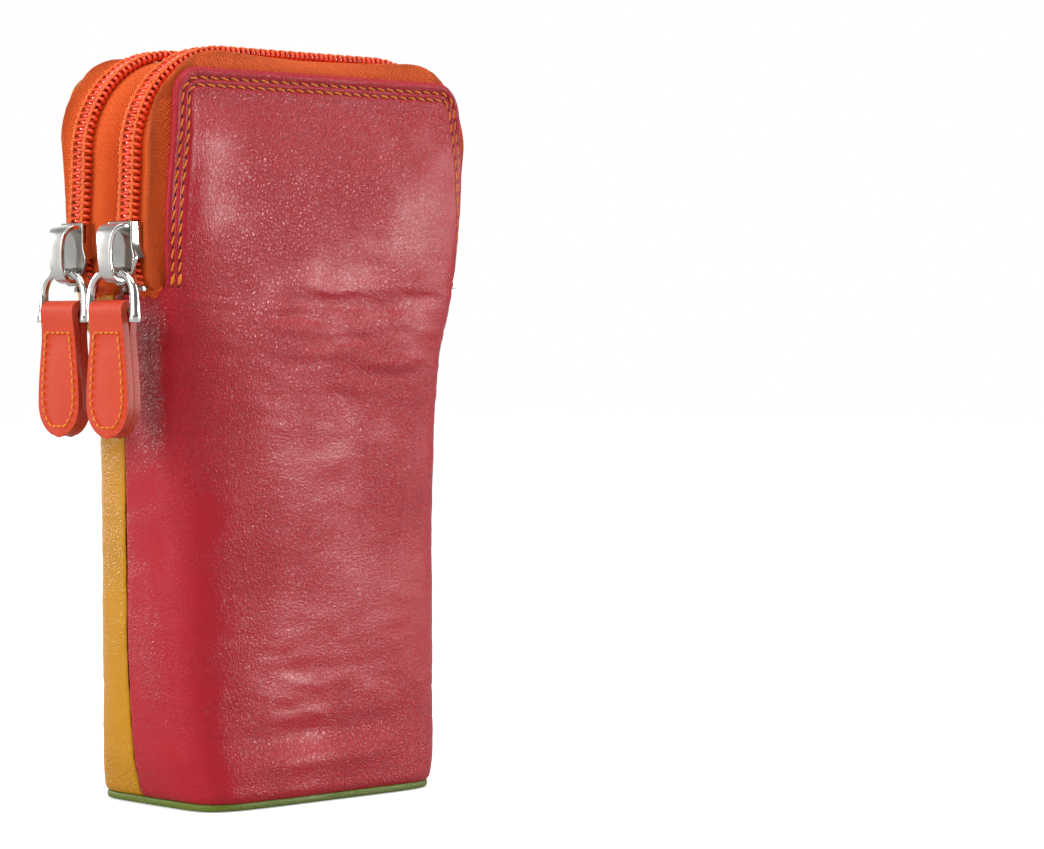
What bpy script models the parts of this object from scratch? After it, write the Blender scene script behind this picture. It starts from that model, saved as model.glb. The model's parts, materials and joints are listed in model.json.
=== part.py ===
"""Upright leather glasses case with two zipped pockets, back to back.

The front and back leather panels wrap round to a seam down each side and stand on a base panel.
Above the shoulder each pocket opens with a zip that runs up one side, over the top and down the
other. Unzipped, the upper part of each panel folds outwards as a flap. Metres, +Z up, front at -Y.
"""

import math

import bmesh
import bpy

# Overall sizes
PANEL_WIDTH = 0.087  # across the sewn edges of a flap
PANEL_TOP = 0.1695  # height of a flap's top edge
ZIP_FOOT = 0.118  # height of the shoulder, where the zips end
FOLD_HEIGHT = ZIP_FOOT + 0.010  # height of the line that a flap folds along
GUSSET_DEPTH = 0.039  # between the sewn edges of the two flaps
SHOULDER_WIDTH = PANEL_WIDTH + 0.005
WAIST_WIDTH = PANEL_WIDTH - 0.006
BODY_DEPTH = 0.0430
BASE_WIDTH = 0.80 * PANEL_WIDTH
BASE_DEPTH = 0.044

# Walls and clearances
LEATHER = 0.0014
LINING = 0.0005
TAPE = 0.0007
DIVIDER = 0.0016
BASE_LEATHER = 0.0016
BASE_BOARD = 0.0012
BASE_INSET = 0.0006
GAP = 0.0003
HEM = 0.0065  # width of the sewn border of a flap
FLAP_CORNER = 0.007
LINING_CLEAR = 0.0016  # from the divider's middle to a pocket lining's edge

# Zips
ZIP_SPREAD = 0.0092  # from the divider's middle to the middle of a zip
ZIP_REACH = PANEL_WIDTH / 2 + 0.0028  # from the case's middle to the tape under a chain
ZIP_TOP = PANEL_TOP + 0.0031  # height of the tape under a chain, at the top run
ZIP_CORNER = 0.023
VALLEY_DROP = 0.0024  # how far the tapes dip between the two zips
EDGE_RISE = 0.0002  # a tape's edge comes out this far from the leather's edge
COIL_RADIUS = 0.0012
COIL_CLEARANCE = 0.0004  # between the two coils of a closed chain
COIL_SPACING = COIL_RADIUS + COIL_CLEARANCE / 2
CHAIN_OPENING = 0.0017  # how far each coil parts round the slider's neck
CHAIN_OPENING_HEIGHT = 0.0087
COIL_END_LIFT = 0.0022  # from the shoulder to the coils' ends at the slider

# Sliders
SLIDER_LENGTH = 0.0145
SLIDER_WIDTH = 0.0104
SLIDER_NARROW_WIDTH = 0.0086
SLIDER_BACK_WIDTH = 0.0080
SLIDER_PLATE = 0.0012
SLIDER_FLANGE = 0.0008
SLIDER_LIFT = 0.0020  # from the shoulder to the slider's lower end
NECK_WIDTH = 0.0014
NECK_LENGTH = 0.0018
SLIDER_NOSE_WIDTH = 0.0056
SLIDER_SHOULDER = 0.45  # height of the slider's widest point, as a share of its length
CROWN_WIDTH = 0.0048
CROWN_LENGTH = 0.0136
CROWN_THICKNESS = 0.0012
CROWN_HOLLOW = 0.0036
STOP_HEIGHT = 0.0012
STOP_WIDTH = 0.0020
STOP_DEPTH = 0.0018
RETAINER_WIDTH = 0.0062
RETAINER_HEIGHT = 0.0046
RETAINER_DEPTH = 0.0024

# Pulls
RING_WIRE = 0.0020
RING_LENGTH = 0.0089  # from the line the ring swings on to the pin
RING_END = 0.0020  # how far the ring's legs go past the pin
PIN_RADIUS = 0.0007
PIN_CLEARANCE = 0.0003
TAB_WIDTH = 0.0156
TAB_NECK_WIDTH = 0.0124
TAB_LENGTH = 0.0315
TAB_THICKNESS = 0.0038
TAB_HEAD = 0.0028  # from the pin to the top of the tab
TAB_EDGE_ROUND = 0.0006

# Seams
THREAD_RADIUS = 0.00025
OUTER_ROW = 0.0026  # from the flap's edge to each row of stitches
INNER_ROW = 0.0052

# Resolution
FACE_STEPS = 12
WRAP_STEPS = 5
BODY_ROWS = 12
FLAP_ROWS = 12
OUTLINE_STEPS = 12

COLOURS = {
    "pink_leather": ((0.60, 0.08, 0.12), 0.42, 0.0),
    "yellow_leather": ((0.72, 0.36, 0.03), 0.42, 0.0),
    "green_leather": ((0.20, 0.28, 0.04), 0.50, 0.0),
    "orange_leather": ((0.80, 0.12, 0.06), 0.50, 0.0),
    "orange_tape": ((0.80, 0.10, 0.02), 0.80, 0.0),
    "red_coil": ((0.75, 0.05, 0.02), 0.30, 0.0),
    "chrome": ((0.75, 0.75, 0.72), 0.15, 1.0),
    "lining": ((0.45, 0.10, 0.05), 0.85, 0.0),
    "board": ((0.35, 0.28, 0.20), 0.90, 0.0),
    "orange_thread": ((0.80, 0.25, 0.04), 0.60, 0.0),
    "brown_thread": ((0.40, 0.12, 0.04), 0.60, 0.0),
}


# ---------------------------------------------------------------- scene and objects


def clear_scene():
    for obj in list(bpy.data.objects):
        bpy.data.objects.remove(obj)


def collection_named(name):
    found = bpy.data.collections.new(name)
    bpy.context.scene.collection.children.link(found)
    return found


def material(slot):
    found = bpy.data.materials.get(slot)
    if found:
        return found
    colour, roughness, metallic = COLOURS[slot]
    made = bpy.data.materials.new(slot)
    made.use_nodes = True
    shader = made.node_tree.nodes["Principled BSDF"]
    shader.inputs["Base Color"].default_value = (*colour, 1.0)
    shader.inputs["Roughness"].default_value = roughness
    shader.inputs["Metallic"].default_value = metallic
    return made


def add_object(name, data, slot, home):
    obj = bpy.data.objects.new(name, data)
    home.objects.link(obj)
    data.materials.append(material(slot))
    return obj


def mesh_from(obj, home):
    """Replaces a curve object with a mesh of it that has its caps welded on."""
    graph = bpy.context.evaluated_depsgraph_get()
    mesh = bpy.data.meshes.new_from_object(obj.evaluated_get(graph))
    work = bmesh.new()
    work.from_mesh(mesh)
    bmesh.ops.remove_doubles(work, verts=work.verts, dist=0.000001)
    bmesh.ops.recalc_face_normals(work, faces=work.faces)
    work.to_mesh(mesh)
    work.free()
    name, matrix = obj.name, obj.matrix_world.copy()
    bpy.data.objects.remove(obj)
    made = bpy.data.objects.new(name, mesh)
    made.matrix_world = matrix
    home.objects.link(made)
    return made


def loft(name, rows, slot, home, wall, offset):
    """An open sheet through rows of points, given a wall. offset 0 centres it, -1 puts it inside."""
    work = bmesh.new()
    grid = [[work.verts.new(point) for point in row] for row in rows]
    for low, high in zip(grid, grid[1:]):
        for i in range(len(low) - 1):
            if low[i + 1] and high[i + 1]:
                work.faces.new((low[i], low[i + 1], high[i + 1], high[i]))
    return walled(name, work, slot, home, wall, offset)


def walled(name, work, slot, home, wall, offset):
    mesh = bpy.data.meshes.new(name)
    work.to_mesh(mesh)
    work.free()
    obj = add_object(name, mesh, slot, home)
    solid = obj.modifiers.new("Wall", "SOLIDIFY")
    solid.thickness = wall
    solid.offset = offset
    solid.use_even_offset = True
    mesh.shade_smooth()
    return obj


def flat_outline(name, points, thickness, slot, home):
    """A closed flat outline in its own XY plane, with half the thickness on each side."""
    curve = bpy.data.curves.new(name, "CURVE")
    curve.dimensions = "2D"
    curve.fill_mode = "BOTH"
    curve.extrude = thickness / 2
    spline = curve.splines.new("POLY")
    spline.points.add(len(points) - 1)
    for point, (x, y) in zip(spline.points, points):
        point.co = (x, y, 0, 1)
    spline.use_cyclic_u = True
    return add_object(name, curve, slot, home)


def wire(name, points, radius, slot, home, resolution=2):
    curve = bpy.data.curves.new(name, "CURVE")
    curve.dimensions = "3D"
    curve.bevel_depth = radius
    curve.bevel_resolution = resolution
    curve.use_fill_caps = True
    spline = curve.splines.new("POLY")
    spline.points.add(len(points) - 1)
    for point, place in zip(spline.points, points):
        point.co = (*place, 1)
    return add_object(name, curve, slot, home)


def box(name, size, place, slot, home, bevel=0.0):
    mesh = bpy.data.meshes.new(name)
    work = bmesh.new()
    bmesh.ops.create_cube(work, size=1)
    bmesh.ops.scale(work, vec=size, verts=work.verts)
    work.to_mesh(mesh)
    work.free()
    obj = add_object(name, mesh, slot, home)
    obj.location = place
    if bevel:
        rounding = obj.modifiers.new("Round", "BEVEL")
        rounding.width = bevel
        rounding.segments = 2
    return obj


def add_boolean(obj, other, operation, helpers):
    """Joins or cuts obj with other, which becomes a hidden helper."""
    change = obj.modifiers.new(other.name, "BOOLEAN")
    change.object = other
    change.operation = operation
    for home in list(other.users_collection):
        home.objects.unlink(other)
    helpers.objects.link(other)
    other.hide_render = True
    other.display_type = "WIRE"


# ---------------------------------------------------------------- outlines of the case


def smoothstep(share):
    share = min(1.0, max(0.0, share))
    return share * share * (3 - 2 * share)


def edge_fraction(squareness):
    """Depth at a flap's edge as a share of the depth at its middle."""
    return (1 - (PANEL_WIDTH / SHOULDER_WIDTH) ** squareness) ** (1 / squareness)


def stations():
    """(height, half width, half depth, squareness) of the case's outer section, from the base up."""
    shoulder, square = SHOULDER_WIDTH / 2, 8.0
    flap_depth = GUSSET_DEPTH / 2
    return (
        (0.0, BASE_WIDTH / 2, BASE_DEPTH / 2, 6.5),
        (0.10 * ZIP_FOOT, 0.935 * WAIST_WIDTH / 2, BODY_DEPTH / 2 * 1.03, 5.2),
        (0.26 * ZIP_FOOT, 0.980 * WAIST_WIDTH / 2, BODY_DEPTH / 2 * 1.01, 4.4),
        (0.70 * ZIP_FOOT, WAIST_WIDTH / 2, BODY_DEPTH / 2, 4.2),
        (0.88 * ZIP_FOOT, (WAIST_WIDTH / 2 + shoulder) / 2, BODY_DEPTH / 2 * 1.02, 5.2),
        (ZIP_FOOT, shoulder, flap_depth / edge_fraction(square), square),
        (0.5 * (ZIP_FOOT + PANEL_TOP), shoulder, flap_depth / edge_fraction(square), square),
        (PANEL_TOP, shoulder, flap_depth / edge_fraction(14.0), 14.0),
    )


def section(height):
    """(half width, half depth, squareness) at a height, on a smooth curve through the stations."""
    marks = stations()
    height = min(marks[-1][0], max(marks[0][0], height))
    i = next(k for k in range(1, len(marks)) if height <= marks[k][0])
    low, high = marks[i - 1], marks[i]
    run = high[0] - low[0]
    t = (height - low[0]) / run

    def slope(k, value):
        before, after = marks[max(k - 1, 0)], marks[min(k + 1, len(marks) - 1)]
        rise = after[value] - before[value]
        flat = (marks[k][value] - before[value]) * (after[value] - marks[k][value]) <= 0
        return 0.0 if flat else rise / (after[0] - before[0])

    def between(value):
        return (
            (2 * t**3 - 3 * t**2 + 1) * low[value]
            + (t**3 - 2 * t**2 + t) * run * slope(i - 1, value)
            + (3 * t**2 - 2 * t**3) * high[value]
            + (t**3 - t**2) * run * slope(i, value)
        )

    return between(1), between(2), between(3)


def depth_at(x, height, inset=0.0):
    """Depth of the outer surface at x, or of a surface that far inside it."""
    a, b, n = section(height)
    a, b = a - inset, b - inset
    return b * max(0.0, 1 - min(1.0, abs(x) / a) ** n) ** (1 / n)


def corner_x(height, inset=0.0):
    """Where the front face ends and the wrap to the side seam begins."""
    return (section(height)[0] - inset) * PANEL_WIDTH / SHOULDER_WIDTH


def face_row(height, half_width, inset=0.0):
    """(x, depth) across the face at a height."""
    steps = [math.sin(math.pi / 2 * (2 * i / FACE_STEPS - 1)) for i in range(FACE_STEPS + 1)]
    return [(half_width * s, depth_at(half_width * s, height, inset)) for s in steps]


def wrapped_row(height, inset=0.0, end=0.0):
    """(x, depth) from the left side seam round the face to the right one. end is the last depth."""
    a, b, n = section(height)
    a, b = a - inset, b - inset
    edge = corner_x(height, inset)
    edge_depth = depth_at(edge, height, inset)
    wrap = []
    for i in range(WRAP_STEPS):
        depth = end + (edge_depth - end) * math.sin(math.pi / 2 * i / WRAP_STEPS)
        wrap.append((a * (1 - (depth / b) ** n) ** (1 / n), depth))
    left = [(-x, depth) for x, depth in wrap]
    return left + face_row(height, edge, inset) + wrap[::-1]


def spaced(low, high, steps):
    return [low + (high - low) * i / steps for i in range(steps + 1)]


def inverted_u(half_width, top, radius, left_foot, right_foot, side=6, corner=6, over=5):
    """(x, z) of an upside-down U, from its left foot over the top to its right foot."""
    spring, flat = top - radius, half_width - radius
    left = [(-half_width, z) for z in spaced(left_foot, spring, side)[:-1]]
    right = [(half_width, z) for z in spaced(right_foot, spring, side)[:-1]]
    turn = [math.pi / 2 * i / corner for i in range(corner + 1)]
    left += [(-flat - radius * math.cos(t), spring + radius * math.sin(t)) for t in turn]
    right += [(flat + radius * math.cos(t), spring + radius * math.sin(t)) for t in turn]
    middle = [(x, top) for x in spaced(-flat, flat, over)[1:-1]]
    return left + middle + right[::-1]


def chain_opening(x, z):
    """How far a coil or a tape's edge parts from the zip's middle, only near the slider."""
    if x > 0:
        return 0.0
    return CHAIN_OPENING * (1 - smoothstep((z - ZIP_FOOT) / CHAIN_OPENING_HEIGHT))


# ---------------------------------------------------------------- leather and lining


def sewn_panel(name, facing, slot, home):
    """The lower part of a panel: a wrap to both side seams, and the face up to the fold line."""
    foot = BASE_LEATHER + GAP
    work = bmesh.new()
    rows = []
    for z in spaced(foot, ZIP_FOOT, BODY_ROWS):
        rows.append([(x, facing * y, z) for x, y in wrapped_row(z, end=GAP / 2)])
    grid = [[work.verts.new(p) for p in row] for row in rows]
    for z in spaced(ZIP_FOOT, FOLD_HEIGHT, 2)[1:]:
        face = [work.verts.new((x, facing * y, z)) for x, y in face_row(z, PANEL_WIDTH / 2)]
        grid.append([None] * WRAP_STEPS + face + [None] * WRAP_STEPS)
    return finish_panel(name, work, grid, facing, slot, home, LEATHER)


def finish_panel(name, work, grid, facing, slot, home, wall):
    for low, high in zip(grid, grid[1:]):
        for i in range(len(low) - 1):
            corners = (low[i], low[i + 1], high[i + 1], high[i])
            if all(corners):
                work.faces.new(corners if facing < 0 else corners[::-1])
    return walled(name, work, slot, home, wall, -1)


def pocket_lining(name, facing, slot, home):
    """Fabric inside the lower part of a panel."""
    inset = LEATHER + GAP
    foot = BASE_LEATHER + GAP
    work = bmesh.new()
    grid = []
    for z in spaced(foot, ZIP_FOOT - 2 * GAP, BODY_ROWS):
        row = wrapped_row(z, inset, end=LINING_CLEAR)
        grid.append([work.verts.new((x, facing * y, z)) for x, y in row])
    edge = PANEL_WIDTH / 2 - HEM
    inner = [i for i, v in enumerate(grid[-1]) if abs(v.co.x) <= edge]
    for z in spaced(ZIP_FOOT, FOLD_HEIGHT, 2):
        row = [None] * len(grid[0])
        for i in inner:
            x = grid[-1][i].co.x if grid[-1][i] else 0.0
            row[i] = work.verts.new((x, facing * depth_at(x, z, inset), z))
        grid.append(row)
    return finish_panel(name, work, grid, facing, slot, home, LINING)


def flap_half_width(height, half_width, top, radius):
    """Half width of a flap at a height, less in its rounded top corners."""
    into = max(0.0, height - (top - radius))
    return half_width - radius + math.sqrt(max(0.0, radius**2 - into**2))


def flap_sheet(name, facing, slot, home, half_width, top, radius, inset, wall):
    """The upper part of a panel or its lining, above the fold line, with rounded top corners."""
    spring = top - radius
    heights = spaced(FOLD_HEIGHT + GAP, spring, FLAP_ROWS - 4)
    heights += [spring + radius * math.sin(math.pi / 2 * i / 4) for i in range(1, 5)]
    work = bmesh.new()
    grid = []
    for z in heights:
        row = face_row(z, flap_half_width(z, half_width, top, radius), inset)
        grid.append([work.verts.new((x, facing * y, z)) for x, y in row])
    return finish_panel(name, work, grid, facing, slot, home, wall)


def flap_leather(name, facing, slot, home):
    return flap_sheet(
        name, facing, slot, home, PANEL_WIDTH / 2, PANEL_TOP, FLAP_CORNER, 0.0, LEATHER
    )


def flap_lining(name, facing, slot, home):
    half_width, top = PANEL_WIDTH / 2 - HEM, PANEL_TOP - HEM
    return flap_sheet(
        name, facing, slot, home, half_width, top, FLAP_CORNER / 2, LEATHER + GAP, LINING
    )


def seam_row(name, facing, row, slot, home):
    """One row of stitching round a flap, laid as a thread on the leather."""
    corner = max(FLAP_CORNER - row, 2 * THREAD_RADIUS)
    foot = FOLD_HEIGHT + GAP + THREAD_RADIUS
    outline = inverted_u(
        PANEL_WIDTH / 2 - row, PANEL_TOP - row, corner, foot, foot, side=8, corner=4, over=8
    )
    lift = GAP + THREAD_RADIUS
    points = [(x, facing * (depth_at(x, z) + lift), z) for x, z in outline]
    return wire(name, points, THREAD_RADIUS, slot, home, resolution=1)


def section_outline(height, inset):
    """(x, y) all the way round the case's section at a height."""
    quarter = []
    a, b, n = section(height)
    a, b = a - inset, b - inset
    for i in range(OUTLINE_STEPS + 1):
        t = math.pi / 2 * i / OUTLINE_STEPS
        reach = (abs(math.cos(t)) ** n + abs(math.sin(t)) ** n) ** (-1 / n)
        quarter.append((a * reach * math.cos(t), b * reach * math.sin(t)))
    half = quarter + [(-x, y) for x, y in quarter[-2::-1]]
    return half + [(x, -y) for x, y in half[-2:0:-1]]


def base_parts(home):
    outline = section_outline(0.0, BASE_INSET)
    panel = flat_outline("base_panel", outline, BASE_LEATHER, "green_leather", home)
    panel.location.z = BASE_LEATHER / 2
    foot = BASE_LEATHER + GAP
    outline = section_outline(foot, LEATHER + LINING + 3 * GAP)
    board = flat_outline("base_board", outline, BASE_BOARD, "board", home)
    board.location.z = foot + BASE_BOARD / 2


def divider(home):
    """The sheet between the pockets, whose upper edge follows the valley between the zips."""
    foot = BASE_LEATHER + BASE_BOARD + 2 * GAP
    inset = LEATHER + 2 * GAP
    reach = ZIP_REACH - VALLEY_DROP - 2 * GAP
    lower = [(-(section(z)[0] - inset), z) for z in spaced(foot, ZIP_FOOT - GAP, BODY_ROWS)]
    top = ZIP_TOP - VALLEY_DROP - 2 * GAP
    upper = inverted_u(reach, top, ZIP_CORNER - VALLEY_DROP, ZIP_FOOT + GAP, ZIP_FOOT + GAP)
    outline = lower + upper + [(-x, z) for x, z in reversed(lower)]
    sheet = flat_outline("divider", outline, DIVIDER, "lining", home)
    sheet.rotation_euler.x = math.pi / 2


# ---------------------------------------------------------------- zips


def tape(name, facing, rails, home):
    """A zip tape lofted through rails of (half width, top, corner radius, depth, parts)."""
    foot = ZIP_FOOT + 2 * GAP
    rows = []
    for half_width, top, radius, depth, parting in rails:
        path = inverted_u(half_width, top, radius, foot, foot)
        rows.append([(x, facing * (depth + parting * chain_opening(x, z)), z) for x, z in path])
    return loft(name, rows, "orange_tape", home, TAPE, 0)


def outer_tape(name, facing, home):
    """From behind the flap's sewn edge, out over the shoulder and under the outer coil."""
    edge_x, edge_z = PANEL_WIDTH / 2 + EDGE_RISE, PANEL_TOP + EDGE_RISE
    behind = GUSSET_DEPTH / 2 - LEATHER - GAP - TAPE / 2
    bend = ZIP_SPREAD + SLIDER_WIDTH / 2 - 0.0007
    inner = ZIP_SPREAD + GAP / 2 + 0.00005
    margin = HEM - 0.001
    rails = (
        (PANEL_WIDTH / 2 - margin, PANEL_TOP - margin, 0.003, behind, 0),
        (edge_x, edge_z, FLAP_CORNER, behind - 0.0001, 0),
        ((edge_x + 1.3 * ZIP_REACH) / 2.3, (edge_z + 1.3 * ZIP_TOP) / 2.3, 0.013, bend + 0.0018, 0),
        (ZIP_REACH, ZIP_TOP, ZIP_CORNER, bend, 0),
        (ZIP_REACH, ZIP_TOP, ZIP_CORNER, inner, 1),
    )
    return tape(name, facing, rails, home)


def inner_tape(name, facing, home):
    """From under the inner coil, down into the valley and along the divider."""
    against = DIVIDER / 2 + GAP + TAPE / 2
    outer = ZIP_SPREAD - GAP / 2 - 0.00005
    bend = ZIP_SPREAD - SLIDER_WIDTH / 2 + 0.0006
    low = ZIP_REACH - VALLEY_DROP
    low_top = ZIP_TOP - VALLEY_DROP
    margin = 0.005
    rails = (
        (ZIP_REACH, ZIP_TOP, ZIP_CORNER, outer, -1),
        (ZIP_REACH, ZIP_TOP, ZIP_CORNER, bend, 0),
        (low + 0.0012, low_top + 0.0012, ZIP_CORNER - 0.0012, against + 0.0017, 0),
        (low, low_top, ZIP_CORNER - VALLEY_DROP, against, 0),
        (low - margin, low_top - margin, ZIP_CORNER - VALLEY_DROP - margin, against, 0),
    )
    return tape(name, facing, rails, home)


def coil(name, facing, side, home):
    """Half of a zip's chain. side is 1 for the flap's half and -1 for the divider's."""
    stand_off = TAPE / 2 + GAP + COIL_RADIUS
    left_foot = ZIP_FOOT + COIL_END_LIFT
    right_foot = ZIP_FOOT + GAP + RETAINER_HEIGHT + 2 * GAP
    path = inverted_u(
        ZIP_REACH + stand_off,
        ZIP_TOP + stand_off,
        ZIP_CORNER + stand_off,
        left_foot,
        right_foot,
        side=8,
        corner=7,
        over=6,
    )
    points = []
    for x, z in path:
        depth = ZIP_SPREAD + side * (COIL_SPACING + chain_opening(x, z))
        points.append((x, facing * depth, z))
    return wire(name, points, COIL_RADIUS, "red_coil", home)


def end_stops(side_name, facing, home):
    """A small stop on each tape below the slider, and the retainer box at the chain's far end."""
    face = ZIP_REACH + TAPE / 2 + GAP
    for half, side in (("outer", 1), ("inner", -1)):
        depth = ZIP_SPREAD + side * (COIL_SPACING + CHAIN_OPENING)
        place = (-(face + STOP_DEPTH / 2), facing * depth, ZIP_FOOT + GAP + STOP_HEIGHT / 2)
        size = (STOP_DEPTH, STOP_WIDTH, STOP_HEIGHT)
        box(f"{side_name}_{half}_top_stop", size, place, "chrome", home, bevel=0.0002)
    place = (face + RETAINER_DEPTH / 2, facing * ZIP_SPREAD, ZIP_FOOT + GAP + RETAINER_HEIGHT / 2)
    size = (RETAINER_DEPTH, RETAINER_WIDTH, RETAINER_HEIGHT)
    box(f"{side_name}_retainer_box", size, place, "chrome", home, bevel=0.0004)


# ---------------------------------------------------------------- sliders and pulls


def slider_levels():
    """Distances from the case's middle to the faces of the slider's plates, inside to outside."""
    back_outer = ZIP_REACH - TAPE / 2 - GAP
    back_inner = back_outer - SLIDER_PLATE
    front_inner = ZIP_REACH + TAPE / 2 + GAP + 2 * COIL_RADIUS + GAP
    return back_inner, back_outer, front_inner, front_inner + SLIDER_PLATE


def slider_plate(name, half_widths, inner, outer, home):
    """A plate across the zip, given as (share of the length, half width) from its foot up."""
    side = [(SLIDER_LENGTH * (share - 0.5), half) for share, half in half_widths]
    outline = side + [(u, -v) for u, v in reversed(side)]
    plate = flat_outline(name, outline, outer - inner, "chrome", home)
    # The outline's own X runs up the case, and its own Y across the zip.
    plate.rotation_euler = (0, -math.pi / 2, 0)
    plate.location.x = -(inner + outer) / 2
    bpy.context.view_layer.update()
    plate = mesh_from(plate, home)
    plate.data.materials.clear()
    plate.data.materials.append(material("chrome"))
    return plate


def slider_body(name, facing, home, helpers):
    """Two plates joined by a neck, with flanges that guide the coils under the outer plate."""
    back_inner, back_outer, front_inner, front_outer = slider_levels()
    middle = ZIP_FOOT + SLIDER_LIFT + SLIDER_LENGTH / 2
    bite = SLIDER_PLATE / 2
    top, widest, nose = SLIDER_NARROW_WIDTH / 2, SLIDER_WIDTH / 2, SLIDER_NOSE_WIDTH / 2
    outline = ((0.0, nose), (SLIDER_SHOULDER, widest), (1.0, top))
    body = slider_plate(name, outline, front_inner, front_outer, home)
    outline = ((0.0, nose), (SLIDER_SHOULDER, SLIDER_BACK_WIDTH / 2), (1.0, top - GAP))
    back = slider_plate(f"{name}_back", outline, back_inner, back_outer, home)
    neck_size = (front_inner - back_outer + 2 * bite, NECK_WIDTH, NECK_LENGTH)
    neck_lift = -SLIDER_LENGTH / 2 + NECK_LENGTH / 2 + GAP
    neck_place = (-(front_inner + back_outer) / 2, 0, neck_lift)
    neck = box(f"{name}_neck", neck_size, neck_place, "chrome", home)
    flange_foot = ZIP_REACH + TAPE / 2 + GAP
    depth = front_inner - flange_foot + bite
    length = SLIDER_LENGTH * (1 - SLIDER_SHOULDER) - GAP
    added = [neck, back]
    for side in (1, -1):
        place = (-(flange_foot + depth / 2), 0, SLIDER_LENGTH / 2 - GAP / 2 - length / 2)
        flange = box(
            f"{name}_flange{side}", (depth, SLIDER_FLANGE, length), place, "chrome", home
        )
        for vertex in flange.data.vertices:
            half = top if vertex.co.z > 0 else widest - GAP
            vertex.co.y += side * (half - SLIDER_FLANGE / 2 - GAP)
        added.append(flange)
    for piece in added:
        add_boolean(body, piece, "UNION", helpers)
    for piece in [body] + added:
        piece.location.y += facing * ZIP_SPREAD
        piece.location.z += middle
    return body


def slider_crown(name, facing, home):
    """The bridge on the slider that the ring hangs in: a flat arch, open towards the slider."""
    plate = slider_levels()[3] + GAP
    height = CROWN_HOLLOW + CROWN_THICKNESS - GAP
    half, corner = CROWN_LENGTH / 2, CROWN_HOLLOW
    turn = [math.pi / 2 * i / 4 for i in range(5)]

    def arch(reach, rise, radius):
        shoulder = [
            (reach - radius + radius * math.cos(t), rise - radius + radius * math.sin(t))
            for t in turn
        ]
        return [(reach, 0.0)] + shoulder + [(-u, v) for u, v in reversed(shoulder)] + [(-reach, 0.0)]

    outer = arch(half, height, corner)
    inner = arch(half - CROWN_THICKNESS, height - CROWN_THICKNESS, corner - CROWN_THICKNESS)
    crown = flat_outline(name, outer + inner[::-1], CROWN_WIDTH, "chrome", home)
    # The outline's own X runs up the case, and its own Y points out from the side.
    crown.rotation_euler = (math.pi / 2, -math.pi / 2, 0)
    crown.location = (-plate, facing * ZIP_SPREAD, crown_middle())
    return crown


def crown_middle():
    return ZIP_FOOT + SLIDER_LIFT + SLIDER_LENGTH / 2


def ring_pivot():
    """(distance from the case's middle, height) of the line that a ring swings on."""
    reach = slider_levels()[3] + GAP / 2 + CROWN_HOLLOW / 2
    foot = crown_middle() - CROWN_LENGTH / 2 + CROWN_THICKNESS
    return reach, foot + RING_WIRE / 2 + 2 * GAP


def tab_pivot():
    reach, height = ring_pivot()
    return reach, height - RING_LENGTH


def pull_ring(name, facing, home):
    """A bent bar through the crown, whose legs spread to each side of the tab's neck."""
    reach, top = ring_pivot()
    foot = tab_pivot()[1] - RING_END
    leg = TAB_NECK_WIDTH / 2 + RING_WIRE / 2 + 2 * GAP
    straight = top - 0.35 * RING_LENGTH
    turn = [math.pi / 2 * i / 6 for i in range(7)]
    side = [(leg * math.cos(t) ** 0.8, straight + (top - straight) * math.sin(t) ** 0.8) for t in turn]
    points = [(-leg, foot)] + [(-y, z) for y, z in side] + side[-2::-1] + [(leg, foot)]
    middle = facing * ZIP_SPREAD
    return wire(name, [(-reach, middle + y, z) for y, z in points], RING_WIRE / 2, "chrome", home)


def pull_pin(name, facing, home):
    reach, height = tab_pivot()
    half = TAB_NECK_WIDTH / 2 + GAP
    points = [(-reach, facing * ZIP_SPREAD + y, height) for y in (-half, half)]
    return wire(name, points, PIN_RADIUS, "chrome", home)


def pull_tab(name, facing, home, helpers):
    """Folded leather tab: narrow at the pin, widest low down, with a round end and a hole."""
    reach, height = tab_pivot()
    half, neck = TAB_WIDTH / 2, TAB_NECK_WIDTH / 2
    end = TAB_HEAD - TAB_LENGTH + half
    side = [
        (neck + (half - neck) * smoothstep(i / 6), TAB_HEAD + (end - TAB_HEAD) * i / 6)
        for i in range(6)
    ]
    arc = [(half * math.cos(math.pi * i / 12), end - half * math.sin(math.pi * i / 12)) for i in range(13)]
    outline = side + arc + [(-u, v) for u, v in reversed(side)]
    curve = flat_outline(name, outline, TAB_THICKNESS, "orange_leather", home)
    curve.rotation_euler = (math.pi / 2, 0, math.pi / 2)
    curve.location = (-reach, facing * ZIP_SPREAD, height)
    bpy.context.view_layer.update()
    tab = mesh_from(curve, home)
    tab.data.materials.clear()
    tab.data.materials.append(material("orange_leather"))
    rounding = tab.modifiers.new("Round", "BEVEL")
    rounding.width = TAB_EDGE_ROUND
    rounding.segments = 2
    rounding.limit_method = "ANGLE"
    rounding.angle_limit = math.radians(60)
    points = [(-reach, facing * ZIP_SPREAD + y, height) for y in (-TAB_WIDTH, TAB_WIDTH)]
    hole = wire(f"{name}_hole", points, PIN_RADIUS + PIN_CLEARANCE, "chrome", home)
    hole = mesh_from(hole, home)
    add_boolean(tab, hole, "DIFFERENCE", helpers)
    return tab


# ---------------------------------------------------------------- assembly


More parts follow.
